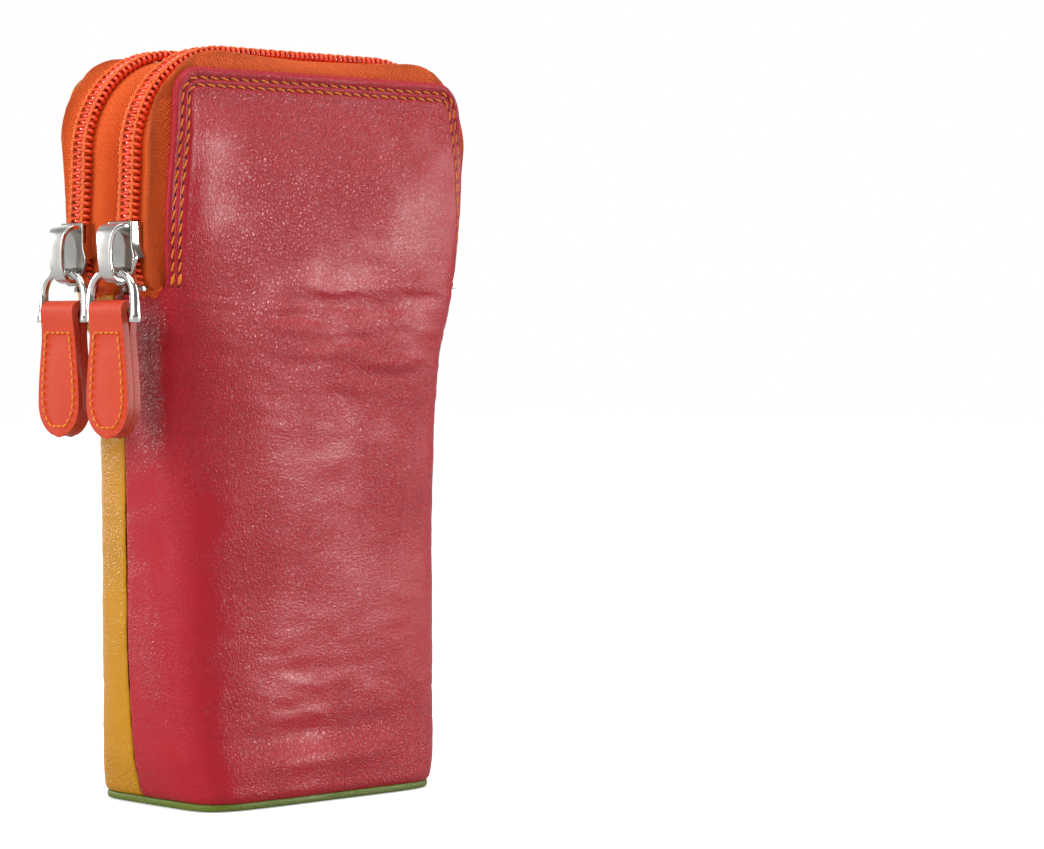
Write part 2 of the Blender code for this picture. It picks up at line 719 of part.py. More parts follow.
def build_side(side_name, facing, leather, thread, home, helpers):
    sewn_panel(f"{side_name}_panel", facing, leather, home)
    flap_leather(f"{side_name}_flap", facing, leather, home)
    pocket_lining(f"{side_name}_pocket_lining", facing, "lining", home)
    flap_lining(f"{side_name}_flap_lining", facing, "lining", home)
    seam_row(f"{side_name}_edge_seam", facing, OUTER_ROW, thread, home)
    seam_row(f"{side_name}_hem_seam", facing, INNER_ROW, thread, home)
    outer_tape(f"{side_name}_outer_tape", facing, home)
    inner_tape(f"{side_name}_inner_tape", facing, home)
    coil(f"{side_name}_outer_coil", facing, 1, home)
    coil(f"{side_name}_inner_coil", facing, -1, home)
    end_stops(side_name, facing, home)
    slider_body(f"{side_name}_slider_body", facing, home, helpers)
    slider_crown(f"{side_name}_slider_crown", facing, home)
    pull_ring(f"{side_name}_pull_ring", facing, home)
    pull_pin(f"{side_name}_pull_pin", facing, home)
    pull_tab(f"{side_name}_pull_tab", facing, home, helpers)


def main():
    clear_scene()
    home = collection_named("glasses_case")
    helpers = collection_named("helpers")
    base_parts(home)
    divider(home)
    build_side("front", -1, "pink_leather", "orange_thread", home, helpers)
    build_side("back", 1, "yellow_leather", "brown_thread", home, helpers)


main()
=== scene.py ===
"""Looks of an upright leather glasses case with two zipped pockets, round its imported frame.

Metres, +Z up. The front panel faces -Y and the zip pulls hang on the -X side.
"""

import json
import math

import bpy
import numpy as np
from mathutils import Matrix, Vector, noise


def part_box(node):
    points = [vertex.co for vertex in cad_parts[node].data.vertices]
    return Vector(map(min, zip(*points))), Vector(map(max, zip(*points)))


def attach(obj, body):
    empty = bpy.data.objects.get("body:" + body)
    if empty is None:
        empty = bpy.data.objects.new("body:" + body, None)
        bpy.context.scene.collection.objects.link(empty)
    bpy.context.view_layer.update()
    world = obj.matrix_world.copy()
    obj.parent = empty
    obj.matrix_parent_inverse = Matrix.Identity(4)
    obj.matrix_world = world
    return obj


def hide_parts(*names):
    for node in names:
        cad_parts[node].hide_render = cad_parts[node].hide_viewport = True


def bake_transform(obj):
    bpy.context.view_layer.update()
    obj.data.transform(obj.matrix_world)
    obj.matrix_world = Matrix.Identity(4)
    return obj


bl_info = {
    "name": "Double glasses case",
    "version": (1, 0, 0),
    "blender": (4, 5, 0),
    "location": "View3D > Sidebar > Glasses Case",
    "description": "Models a leather glasses case with two zipped pockets",
    "category": "Object",
}

# The rumples of the tapes come out the same each time
noise.seed_set(4)

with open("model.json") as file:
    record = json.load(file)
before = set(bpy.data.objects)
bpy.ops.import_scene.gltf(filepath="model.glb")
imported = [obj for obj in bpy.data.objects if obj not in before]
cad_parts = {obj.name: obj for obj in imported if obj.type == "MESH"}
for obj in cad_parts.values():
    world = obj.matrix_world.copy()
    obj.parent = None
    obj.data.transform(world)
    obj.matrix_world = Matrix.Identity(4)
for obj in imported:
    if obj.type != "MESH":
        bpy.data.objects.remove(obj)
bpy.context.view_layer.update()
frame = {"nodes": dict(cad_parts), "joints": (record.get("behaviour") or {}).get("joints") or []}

# Heights and reaches that the pieces share, in metres
PANEL_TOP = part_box("front_flap")[1].z
FLAP_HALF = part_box("front_flap")[1].x
SHOULDER = 0.118
FLAP_CORNER = 0.007
SHOULDER_HALF = 0.046
# The outer section stays as it is here above this height
SECTION_TOP = 0.1695
WAIST_HALF = 0.0405
# A flap's edge lies this far from the middle, sideways and in depth
EDGE_HALF = 0.0435
EDGE_DEPTH = 0.0195
BODY_HALF = 0.0215
BASE_HALF = (0.0360, 0.0233)
# Below the zips' feet the leather pulls in from the width it has above them
PINCH_HALF = 0.0436
ZIP_SPREAD = 0.0092
ZIP_REACH = 0.0463
ZIP_TOP = 0.1726
ZIP_CORNER = 0.023
SLIDER_LENGTH = 0.0145
SLIDER_MIDDLE = SHOULDER + 0.002 + SLIDER_LENGTH / 2
TAB_HALF = 0.0078
TAB_NECK = 0.0061
# From a tab's pin down to its tip
TAB_END = 0.0315 - 0.0028
# Gap between the pin's centre and each leaf of the tab's fold, and how far the fold bulges
TAB_GAP = 0.00090
TAB_BULGE = 0.00062
# Points along a zip's side run, its corner and its top
ZIP_PARTS = (26, 30, 40)
# Step used to find a surface's normal
PROBE = 0.0004
SIDES = (("front", -1), ("back", 1))


# ---------------------------------------------------------------- sizes and colours


def length(name, description, default):
    return bpy.props.FloatProperty(
        name=name, description=description, default=default, unit="LENGTH", precision=5
    )


def colour(name, description, default):
    return bpy.props.FloatVectorProperty(
        name=name, description=description, default=default, size=3, subtype="COLOR", min=0, max=1
    )


class CaseSizes(bpy.types.PropertyGroup):
    leather: length("Leather", "Thickness of the leather panels", 0.0020)
    lining: length("Lining", "Thickness of the pocket linings", 0.0005)
    tape: length("Zip tape", "Thickness of the zip tapes", 0.0007)
    row_one: length("First row", "From a flap's edge to its outer row of stitches", 0.0025)
    row_two: length("Second row", "From a flap's edge to its inner row of stitches", 0.0042)
    stitch_pitch: length("Stitch pitch", "Distance between stitches on a flap", 0.0029)
    thread: length("Thread", "Thickness of the sewing thread", 0.00046)
    coil_pitch: length("Coil pitch", "Distance between the turns of a zip's coil", 0.00148)
    coil_wire: length("Coil wire", "Thickness of the wire a coil is wound from", 0.00086)
    crease: bpy.props.FloatProperty(
        name="Creases", description="How deep the leather's creases are", default=1.0, min=0, max=3
    )


class CaseColours(bpy.types.PropertyGroup):
    pink: colour("Front leather", "Colour of the front panel", (0.54, 0.019, 0.034))
    yellow: colour("Back leather", "Colour of the back panel", (0.69, 0.305, 0.008))
    green: colour("Base leather", "Colour of the base", (0.165, 0.235, 0.030))
    coral: colour("Tab leather", "Colour of the pull tabs", (0.66, 0.052, 0.012))
    tape: colour("Zip tape", "Colour of the woven zip tapes", (1.0, 0.122, 0.018))
    coil: colour("Zip coil", "Colour of the nylon coils", (0.95, 0.070, 0.012))
    coil_thread: colour("Coil thread", "Colour of the coils' stitching", (0.95, 0.17, 0.030))
    orange_thread: colour("Front thread", "Colour of the front stitching", (1.0, 0.27, 0.030))
    brown_thread: colour("Back thread", "Colour of the back stitching", (0.40, 0.135, 0.035))
    lining: colour("Lining", "Colour of the pocket linings", (0.30, 0.050, 0.022))
    chrome: colour("Metal", "Colour of the sliders and rings", (0.74, 0.725, 0.69))


def sizes():
    return bpy.context.scene.case_sizes


def colours():
    return bpy.context.scene.case_colours


# ---------------------------------------------------------------- outlines of the case


def smoothstep(share):
    share = np.clip(share, 0.0, 1.0)
    return share * share * (3 - 2 * share)


def squared(squareness):
    """Middle depth that puts a flap's edge at its own depth."""
    return EDGE_DEPTH / (1 - (EDGE_HALF / SHOULDER_HALF) ** squareness) ** (1 / squareness)


# (height, half width, half depth, squareness) of the outer section, from the base up
STATIONS = (
    (0.0, BASE_HALF[0], BASE_HALF[1], 6.5),
    (0.10 * SHOULDER, 0.945 * WAIST_HALF, BODY_HALF * 1.045, 5.2),
    (0.26 * SHOULDER, 0.980 * WAIST_HALF, BODY_HALF * 1.01, 4.4),
    (0.70 * SHOULDER, WAIST_HALF, BODY_HALF, 4.2),
    (0.88 * SHOULDER, 0.0417, BODY_HALF * 1.02, 5.2),
    (SHOULDER, PINCH_HALF, squared(8.0), 8.0),
    (0.1315, SHOULDER_HALF - 0.0006, squared(8.0), 8.0),
    (0.5 * (SHOULDER + SECTION_TOP), SHOULDER_HALF, squared(8.0), 8.0),
    (SECTION_TOP, SHOULDER_HALF, squared(14.0), 14.0),
)


def section(height):
    """(half width, half depth, squareness) at a height, on a smooth curve through the stations."""
    height = min(STATIONS[-1][0], max(STATIONS[0][0], height))
    i = next(k for k in range(1, len(STATIONS)) if height <= STATIONS[k][0])
    low, high = STATIONS[i - 1], STATIONS[i]
    run = high[0] - low[0]
    t = (height - low[0]) / run

    def slope(k, value):
        before, after = STATIONS[max(k - 1, 0)], STATIONS[min(k + 1, len(STATIONS) - 1)]
        flat = (STATIONS[k][value] - before[value]) * (after[value] - STATIONS[k][value]) <= 0
        return 0.0 if flat else (after[value] - before[value]) / (after[0] - before[0])

    def between(value):
        return (
            (2 * t**3 - 3 * t**2 + 1) * low[value]
            + (t**3 - 2 * t**2 + t) * run * slope(i - 1, value)
            + (3 * t**2 - 2 * t**3) * high[value]
            + (t**3 - t**2) * run * slope(i, value)
        )

    return between(1), between(2), between(3)


class Ring:
    """One level of the case's outer section, measured round from the middle of a face."""

    kept = {}

    def __init__(self, height):
        a, b, n = section(height)
        # Directions are spread so that the tight corner gets most of the points
        turn = np.linspace(0, math.pi / 2, 260)
        turn = turn - 0.08 * np.sin(4 * turn)
        reach = (np.sin(turn) ** n + np.cos(turn) ** n) ** (-1 / n)
        self.x = a * reach * np.sin(turn)
        self.y = b * reach * np.cos(turn)
        steps = np.hypot(np.diff(self.x), np.diff(self.y))
        self.run = np.concatenate([[0], np.cumsum(steps)])
        self.seam = self.run[-1]

    def at(self, along):
        """(x, depth) at a distance round. Past the side seam the depth turns negative."""
        away = np.abs(along)
        past = away > self.seam
        folded = np.where(past, 2 * self.seam - away, away)
        x = np.interp(folded, self.run, self.x)
        y = np.interp(folded, self.run, self.y)
        return np.sign(along) * x, np.where(past, -y, y)

    @classmethod
    def level(cls, height):
        key = round(height * 20000)
        if key not in cls.kept:
            cls.kept[key] = cls(key / 20000)
        return cls.kept[key]


def base_point(facing, along, height):
    x, depth = Ring.level(min(height, SECTION_TOP)).at(along)
    return np.array([float(x), facing * float(depth), height])


def base_normal(facing, along, height):
    right, left = (base_point(facing, along + step, height) for step in (PROBE, -PROBE))
    high, low = (base_point(facing, along, height + step) for step in (PROBE, -PROBE))
    across, up = right - left, high - low
    out = np.cross(across, up) if facing < 0 else np.cross(up, across)
    return out / np.linalg.norm(out)


def on_leather(facing, along, height, lift):
    """A point that far above the leather, creases and seams included, or below it."""
    rise = lift + float(relief(facing, np.array([along]), np.array([height]))[0])
    return base_point(facing, along, height) + rise * base_normal(facing, along, height)


def under_leather(facing, along, height, drop):
    return base_point(facing, along, height) - drop * base_normal(facing, along, height)


# ---------------------------------------------------------------- edges of the leather


def edge_run(height, far):
    """Distance round from the face's middle to the flap's edge, or to the corner below the flap."""
    if height < SHOULDER:
        low = edge_run(SHOULDER, far) - 0.003
        share = low / Ring.level(SHOULDER).seam
        return share * Ring.level(height).seam + 0.003 * math.exp(-(SHOULDER - height) / 0.004)
    ring = Ring.level(min(height, SECTION_TOP))
    inward = SHOULDER_HALF - section(min(height, SECTION_TOP))[0]
    straight = float(np.interp(FLAP_HALF - inward, ring.x, ring.run))
    # Towards the shoulder the edge goes further round the side, most on the far side
    down = max(0.0, (PANEL_TOP - height) / (PANEL_TOP - SHOULDER))
    wrap = (0.0068 if far else 0.0048) * down**1.4
    into = max(0.0, 0.003 - (height - SHOULDER))
    return straight + wrap + 0.003 - math.sqrt(max(0.0, 0.003**2 - into**2))


def corner_cut(height):
    """How far a flap's edge comes in at a height, in its rounded top corners."""
    into = min(FLAP_CORNER, max(0.0, height - (PANEL_TOP - FLAP_CORNER)))
    return FLAP_CORNER - math.sqrt(max(0.0, FLAP_CORNER**2 - into**2))


def from_edge(along, height):
    """Distance from a flap's sewn edge, in along and height."""
    edge = np.array([edge_run(h, a > 0) for a, h in zip(along, height)])
    side = edge - np.abs(along)
    top = PANEL_TOP - height
    r = FLAP_CORNER
    corner = r - np.hypot(np.maximum(r - side, 0), np.maximum(r - top, 0))
    return np.where((side < r) & (top < r), corner, np.minimum(side, top))


# ---------------------------------------------------------------- relief of the leather

# (across, height, half length, half breadth, rise, tilt, bow), in millimetres but for the last two
FRONT_CREASES = (
    (12, 116.0, 30, 2.0, -0.40, 0.02, 0.003),
    (12, 119.8, 32, 2.6, 0.34, 0.02, 0.003),
    (-8, 113.0, 13, 1.1, -0.34, -0.10, -0.010),
    (-7, 110.6, 13, 1.3, 0.30, -0.10, -0.010),
    (2, 107.5, 17, 1.0, -0.28, 0.05, -0.006),
    (3, 105.2, 16, 1.2, 0.26, 0.05, -0.006),
    (-3, 102.4, 14, 0.9, -0.20, -0.06, -0.004),
    (20, 99.5, 17, 1.3, -0.42, 0.03, 0.006),
    (19, 102.6, 17, 1.8, 0.34, 0.03, 0.006),
    (6, 94.0, 14, 1.1, -0.22, -0.08, 0.003),
    (22, 90.5, 11, 1.5, -0.20, 0.05, 0.002),
    (-12, 88.0, 10, 1.4, 0.16, 0.12, 0.0),
    (2, 31.0, 24, 1.4, -0.18, 0.03, 0.002),
    (-2, 27.0, 21, 1.4, 0.16, 0.03, 0.002),
    (-8, 22.5, 14, 1.1, -0.12, 0.05, 0.0),
    (-2, 10.0, 31, 2.7, 0.85, 0.03, 0.0),
    (0, 16.5, 34, 3.2, -0.60, 0.03, 0.0),
)
BACK_CREASES = (
    (10, 112.0, 15, 1.6, -0.26, 0.04, 0.004),
    (-6, 104.0, 20, 2.4, 0.50, -0.03, 0.004),
    (-6, 98.0, 22, 3.0, -0.30, -0.03, 0.004),
    (-18, 89.0, 18, 1.8, 0.32, 0.04, 0.002),
    (8, 73.0, 22, 1.2, -0.34, -0.05, 0.003),
    (4, 70.3, 22, 1.4, 0.30, -0.05, 0.003),
    (-12, 64.5, 18, 1.3, -0.24, -0.02, 0.002),
    (-14, 61.5, 16, 1.3, 0.20, -0.02, 0.002),
    (6, 30.5, 22, 1.3, -0.30, 0.02, 0.002),
    (4, 27.6, 22, 1.4, 0.28, 0.02, 0.002),
    (0, 12.5, 28, 1.6, -0.42, 0.05, 0.002),
    (2, 8.5, 30, 2.4, 0.45, 0.05, 0.0),
    (-41, 109.0, 5, 2.2, -1.10, 0.35, 0.0),
    (-38, 113.0, 6, 1.6, 0.45, 0.55, 0.0),
    (-37, 104.5, 6, 1.5, 0.35, -0.5, 0.0),
)


def bump(distance, breadth):
    return np.exp(-((distance / breadth) ** 2))


def relief(facing, along, height):
    """How far the leather stands out from its plain section, in metres."""
    across, up = along * 1000, height * 1000
    rise = np.zeros_like(across, dtype=float)
    for u, z, half, breadth, lift, tilt, bow in FRONT_CREASES if facing < 0 else BACK_CREASES:
        line = z + tilt * (across - u) + bow * (across - u) ** 2
        reach = 1 - smoothstep((np.abs(across - u) / half - 0.35) / 0.65)
        rise += lift * reach * bump(up - line, breadth)
    soft = np.array(
        [
            noise.noise(Vector((u / 26, v / 22, 3.7 * facing))) * 0.30
            + noise.noise(Vector((u / 11, v / 4.5, 9.1 + facing))) * 0.10
            + noise.noise(Vector((u / 4.2, v / 2.6, 21.3 + facing))) * 0.035
            for u, v in zip(across, up)
        ]
    )
    rise += soft
    rise += wrinkles(across, up, facing)
    # The panel is filled out by what it holds, most of all below the shoulder
    full = 0.9 * bump(up - 94, 22) * bump(across + 4, 28)
    rise += full - 0.45 * bump(up - 121, 9) * bump(across, 34)
    rise += 0.45 * bump(up - 146, 18) * bump(across + 2, 30)
    if facing < 0:
        sides = smoothstep((up - 1) / 8) * smoothstep((112 - up) / 22)
        rise += 1.3 * bump(across - 47, 13) * sides
    else:
        stored = smoothstep((up - 118) / 8) * smoothstep((166 - up) / 5)
        rise -= 0.10 * bump(across + 8 + 0.6 * np.sin(up / 7), 0.55) * stored
    rise *= sizes().crease
    rise += border_relief(along, height)
    # The foot of the leather turns in under the case, on a curve of 3 mm radius
    foot = np.clip(3.0 - (up - 0.7), 0, 2.4)
    rise -= 3.0 - np.sqrt(np.maximum(3.0**2 - foot**2, 0.01))
    return rise * 0.001 + seam_relief(facing, along, height)


def wrinkles(across, up, facing):
    """Fine crosswise wrinkles where the leather folds: below the shoulder and above the base."""
    fold = bump(up - (106 if facing < 0 else 100), 15) + 0.5 * bump(up - 28, 10) + 0.25
    slant = 0.10 * across
    fine = np.array(
        [
            noise.noise(Vector((u / 9.0, (v + w) / 1.9, 41.0 + facing))) * 0.24
            + noise.noise(Vector((u / 5.0, (v + w) / 1.0, 57.0 + facing))) * 0.045
            for u, v, w in zip(across, up, slant)
        ]
    )
    return fine * fold


def border_relief(along, height):
    """The padded turned edge of a flap, drawn down along its two rows of stitches."""
    on_flap = smoothstep((height - SHOULDER) / 0.003)
    rise = np.zeros_like(along, dtype=float)
    near = on_flap > 0
    if not near.any():
        return rise
    d = from_edge(along[near], height[near]) * 1000
    one, two = sizes().row_one * 1000, sizes().row_two * 1000
    pitch = sizes().stitch_pitch * 1000
    walk = np.where(PANEL_TOP - height[near] < 0.0065, along[near], height[near]) * 1000
    corner = (PANEL_TOP - height[near] < 0.008) & (np.abs(along[near]) > 0.0345)
    pucker = np.where(corner, 0.5, 0.5 + 0.5 * np.cos(2 * math.pi * walk / pitch))
    between = (0.30 - 0.12 * pucker) * bump(d - (one + two) / 2, 0.48)
    lip = 0.52 * bump(d - one * 0.5, 0.80) + between
    dips = (0.20 + 0.16 * pucker) * (bump(d - one, 0.34) + bump(d - two, 0.36))
    turned = 0.9 - np.sqrt(np.maximum(0.81 - np.clip(0.9 - d, 0, 0.9) ** 2, 0.01))
    hem = 0.16 * bump(d - two - 1.1, 0.8)
    rise[near] = (lip - dips - turned + hem) * on_flap[near]
    return rise


def seam_relief(facing, along, height):
    """The leather rolls into the seam down each side, except where the back panel laps over it."""
    seam = np.array([Ring.level(min(h, SECTION_TOP)).seam for h in height])
    near = seam - np.abs(along) + seam_shift(facing, along)
    lap = (facing > 0) & (along > 0)
    lapped = np.where(lap, 0.00035 * bump(near, 0.003), 0)
    radius = np.where(lap, 0.0004, 0.0011)
    into = np.clip(radius - near, 0, radius)
    below = height <= SHOULDER + 0.0002
    roll = radius - np.sqrt(np.maximum(radius**2 - into**2, 0))
    return np.where(below, -roll + lapped, 0)


def seam_shift(facing, along):
    """How far past the middle of a side a panel's edge goes: the seams lean to one panel."""
    past = np.where(np.asarray(along) > 0, -0.0002, -0.0032)
    return facing * past


# ---------------------------------------------------------------- modelling helpers


def deselect():
    if bpy.context.mode != "OBJECT":
        bpy.ops.object.mode_set(mode="OBJECT")
    bpy.ops.object.select_all(action="DESELECT")


def only(obj):
    deselect()
    obj.select_set(True)
    bpy.context.view_layer.objects.active = obj
    return obj


def named(name):
    """The primitive that was just added, under its own name."""
    obj = bpy.context.active_object
    obj.name = name
    obj.data.name = name
    return obj


def apply_modifiers(obj):
    only(obj)
    for modifier in list(obj.modifiers):
        bpy.ops.object.modifier_apply(modifier=modifier.name)


def edit(obj, *steps):
    """Runs edit-mode steps on what is selected in the mesh."""
    only(obj)
    bpy.ops.object.mode_set(mode="EDIT")
    for step in steps:
        step()
    bpy.ops.object.mode_set(mode="OBJECT")


def select_points(obj, chosen):
    """Selects the vertices that the mask names, ready for an edit-mode step."""
    only(obj)
    bpy.ops.object.mode_set(mode="EDIT")
    bpy.ops.mesh.select_mode(type="VERT")
    bpy.ops.mesh.select_all(action="DESELECT")
    bpy.ops.object.mode_set(mode="OBJECT")
    obj.data.vertices.foreach_set("select", np.asarray(chosen, bool))


def smooth(obj, angle=None):
    only(obj)
    if angle is None:
        bpy.ops.object.shade_smooth()
    else:
        bpy.ops.object.shade_smooth_by_angle(angle=math.radians(angle))


def everything():
    bpy.ops.mesh.select_all(action="SELECT")


def outward():
    everything()
    bpy.ops.mesh.normals_make_consistent(inside=False)


def turn_over(obj):
    edit(obj, everything, bpy.ops.mesh.flip_normals)


def round_edges(obj, width, segments, angle):
    """Adds a bevel of the edges that turn more than the angle, in degrees."""
    rounding = obj.modifiers.new("edge", "BEVEL")
    rounding.width = width
    rounding.segments = segments
    rounding.limit_method = "ANGLE"
    rounding.angle_limit = math.radians(angle)


def grid_sheet(name, points, cut=None):
    """A primitive grid with its points laid where the array says. cut marks the points left out."""
    rows, columns = points.shape[:2]
    deselect()
    bpy.ops.mesh.primitive_grid_add(x_subdivisions=columns - 1, y_subdivisions=rows - 1, size=1)
    obj = named(name)
    flat = np.empty(len(obj.data.vertices) * 3, np.float32)
    obj.data.vertices.foreach_get("co", flat)
    flat = flat.reshape(-1, 3)
    order = np.lexsort((flat[:, 0], flat[:, 1]))
    flat[order] = points.reshape(-1, 3)
    obj.data.vertices.foreach_set("co", flat.ravel())
    if cut is not None:
        mask = np.empty(len(order), bool)
        mask[order] = cut.reshape(-1)
        select_points(obj, mask)
        edit(obj, lambda: bpy.ops.mesh.delete(type="VERT"))
    return obj


def measure_weave(obj, measure):
    """A UV map for a sheet's weave: each point's place along and across it, in centimetres."""
    values = np.asarray(measure, np.float32).reshape(-1, 2)
    layer = obj.data.uv_layers.active or obj.data.uv_layers.new(name="weave")
    layer.name = "weave"
    flat = np.empty(len(obj.data.loops), np.int32)
    obj.data.loops.foreach_get("vertex_index", flat)
    layer.data.foreach_set("uv", values[flat].ravel())


def thicken(obj, wall, offset=-1.0, rim=None, round_rim=0.0, segments=2):
    """Gives a sheet its wall. rim is the material of its edge, which may be rounded."""
    solid = obj.modifiers.new("wall", "SOLIDIFY")
    solid.thickness = wall
    solid.offset = offset
    if rim is not None:
        solid.material_offset_rim = rim
    if round_rim:
        round_edges(obj, round_rim, segments, 50)
    apply_modifiers(obj)


def tube(name, strands, radius, sides, radii=None):
    """One mesh of round tubes, each along a row of points."""
    curve = bpy.data.curves.new(name, "CURVE")
    curve.dimensions = "3D"
    curve.bevel_depth = radius
    curve.bevel_resolution = sides
    curve.use_fill_caps = True
    for strand in strands:
        spline = curve.splines.new("POLY")
        spline.points.add(len(strand) - 1)
        flat = np.c_[np.asarray(strand, float), np.ones(len(strand))].ravel()
        spline.points.foreach_set("co", flat)
        if radii is not None:
            spline.points.foreach_set("radius", np.asarray(radii, float))
    obj = bpy.data.objects.new(name, curve)
    bpy.context.scene.collection.objects.link(obj)
    only(obj)
    bpy.ops.object.convert(target="MESH")
    obj = named(name)
    edit(
        obj,
        everything,
        lambda: bpy.ops.mesh.remove_doubles(threshold=0.000005),
        outward,
    )
    smooth(obj)
    return obj


def flat_plate(name, outline, thickness, bevel):
    """A plate in the YZ plane at x = 0, drawn out towards -X, from (y, z) round its outline."""
    deselect()
    bpy.ops.mesh.primitive_circle_add(vertices=len(outline), radius=1, fill_type="NGON")
    obj = named(name)
    points = np.array([(0.0, y, z) for y, z in outline])
    obj.data.vertices.foreach_set("co", points.ravel())
    edit(
        obj,
        everything,
        lambda: bpy.ops.mesh.extrude_region_move(
            TRANSFORM_OT_translate={"value": (-thickness, 0, 0)}
        ),
        outward,
    )
    if bevel:
        round_edges(obj, bevel, 3, 40)
    apply_modifiers(obj)
    return obj


def moved(obj, offset):
    only(obj)
    obj.location = offset
    bpy.ops.object.transform_apply(location=True, rotation=False, scale=False)
    return obj


def joined(name, pieces):
    deselect()
    for piece in pieces:
        piece.select_set(True)
    bpy.context.view_layer.objects.active = pieces[0]
    bpy.ops.object.join()
    return named(name)


def dress(obj, slot, *finishes):
    obj.data.materials.clear()
    for finish in finishes:
        obj.data.materials.append(finish)


def redress(node, finish):
    """Gives a solid of the frame that stays in view its finish."""
    materials = frame["nodes"][node].data.materials
    materials.clear()
    materials.append(finish)


def bend_with_flap(obj):
    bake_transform(obj)


# ---------------------------------------------------------------- finishes


class Finish:
    """A material whose nodes are added one by one, from left to right."""

    def __init__(self, name):
        self.material = bpy.data.materials.new(name)
        self.material.use_nodes = True
        self.tree = self.material.node_tree
        self.shader = self.tree.nodes["Principled BSDF"]

    def feed(self, socket, value):
        """Links another node's output to a socket, or sets the socket's own number or colour."""
        if hasattr(value, "links"):
            self.tree.links.new(value, socket)
        else:
            socket.default_value = value

    def node(self, kind, values=None, **settings):
        made = self.tree.nodes.new(kind)
        for key, value in settings.items():
            setattr(made, key, value)
        for key, value in (values or {}).items():
            self.feed(made.inputs[key], value)
        return made

    def place(self):
        return self.node("ShaderNodeTexCoord").outputs["Object"]

    def noise(self, place, scale, detail=2.0):
        values = {"Vector": place, "Scale": scale, "Detail": detail}
        return self.node("ShaderNodeTexNoise", values).outputs["Fac"]

    def math(self, operation, *values):
        made = self.node("ShaderNodeMath", operation=operation)
        for socket, value in zip(made.inputs, values):
            self.feed(socket, value)
        return made.outputs[0]

    def mix(self, share, low, high):
        """A blend of two colours, each given as a tuple or by another node."""
        made = self.node("ShaderNodeMix", data_type="RGBA")
        self.feed(made.inputs[0], share)
        for socket, value in ((made.inputs[6], low), (made.inputs[7], high)):
            self.feed(socket, (*value, 1.0) if isinstance(value, tuple) else value)
        return made.outputs[2]

    def ramp(self, value, low, high, low_out=0.0, high_out=1.0):
        """A smooth rise of a value between two levels."""
        made = self.node("ShaderNodeMapRange", {"Value": value}, interpolation_type="SMOOTHSTEP")
        made.inputs["From Min"].default_value = low
        made.inputs["From Max"].default_value = high
        made.inputs["To Min"].default_value = low_out
        made.inputs["To Max"].default_value = high_out
        return made.outputs[0]

    def shade(self, **sockets):
        for key, value in sockets.items():
            socket = self.shader.inputs[key.replace("_", " ")]
            self.feed(socket, (*value, 1.0) if isinstance(value, tuple) else value)

    def relief(self, height, distance, strength=1.0):
        made = self.node("ShaderNodeBump", {"Height": height, "Distance": distance})
        made.inputs["Strength"].default_value = strength
        self.tree.links.new(made.outputs["Normal"], self.shader.inputs["Normal"])


def made_once(finish):
    """Lets pieces share a finish: the first call of a name makes it, the others find it."""

    def find_or_make(name, *values):
        return bpy.data.materials.get(name) or finish(name, *values)

    return find_or_make


def effect_group(name, inputs, outputs):
    """An empty node group with its sockets, and a Finish-like maker of nodes inside it."""
    made = bpy.data.node_groups.new(name, "ShaderNodeTree")
    for label, kind, default in inputs:
        socket = made.interface.new_socket(label, in_out="INPUT", socket_type=kind)
        if default is not None:
            socket.default_value = default
    for label, kind in outputs:
        made.interface.new_socket(label, in_out="OUTPUT", socket_type=kind)
    maker = Finish.__new__(Finish)
    maker.tree = made
    maker.inside = made.nodes.new("NodeGroupInput")
    maker.out = made.nodes.new("NodeGroupOutput")
    return maker


def leather_grain():
    """Pebbled grain: plates between fine cracks at two sizes, and slow changes of tone."""
    found = bpy.data.node_groups.get("leather_grain")
    if found:
        return found
    maker = effect_group(
        "leather_grain",
        (
            ("Place", "NodeSocketVector", None),
            ("Scale", "NodeSocketFloat", 900.0),
            ("Depth", "NodeSocketFloat", 1.0),
        ),
        (
            ("Height", "NodeSocketFloat"),
            ("Cracks", "NodeSocketFloat"),
            ("Tone", "NodeSocketFloat"),
        ),
    )
    place, scale, depth = (maker.inside.outputs[i] for i in range(3))
    warp = maker.node("ShaderNodeTexNoise", {"Vector": place, "Scale": 420.0, "Detail": 2.0})
    # How far the warp pulls the plates out of their places, in metres
    values = {0: warp.outputs["Color"], 1: (0.0011,) * 3}
    pull = maker.node("ShaderNodeVectorMath", values, operation="MULTIPLY").outputs[0]
    bent = maker.node("ShaderNodeVectorMath", {0: place, 1: pull}, operation="ADD").outputs[0]

    def plates(plate_scale):
        values = {"Vector": bent, "Scale": plate_scale}
        edges = maker.node("ShaderNodeTexVoronoi", values, feature="DISTANCE_TO_EDGE")
        return maker.ramp(edges.outputs["Distance"], 0.0, 0.24)

    big, small = plates(scale), plates(maker.math("MULTIPLY", scale, 2.3))
    slow = maker.noise(place, 34.0)
    strength = maker.math("MULTIPLY", maker.ramp(slow, 0.36, 0.62, 0.30, 1.25), depth)
    big, small = maker.math("MULTIPLY", big, 0.62), maker.math("MULTIPLY", small, 0.38)
    both = maker.math("ADD", big, small)
    links = maker.tree.links
    links.new(maker.math("MULTIPLY", both, strength), maker.out.inputs["Height"])
    cracks = maker.math("SUBTRACT", 1.0, both)
    links.new(maker.math("MULTIPLY", cracks, strength), maker.out.inputs["Cracks"])
    links.new(slow, maker.out.inputs["Tone"])
    return maker.tree


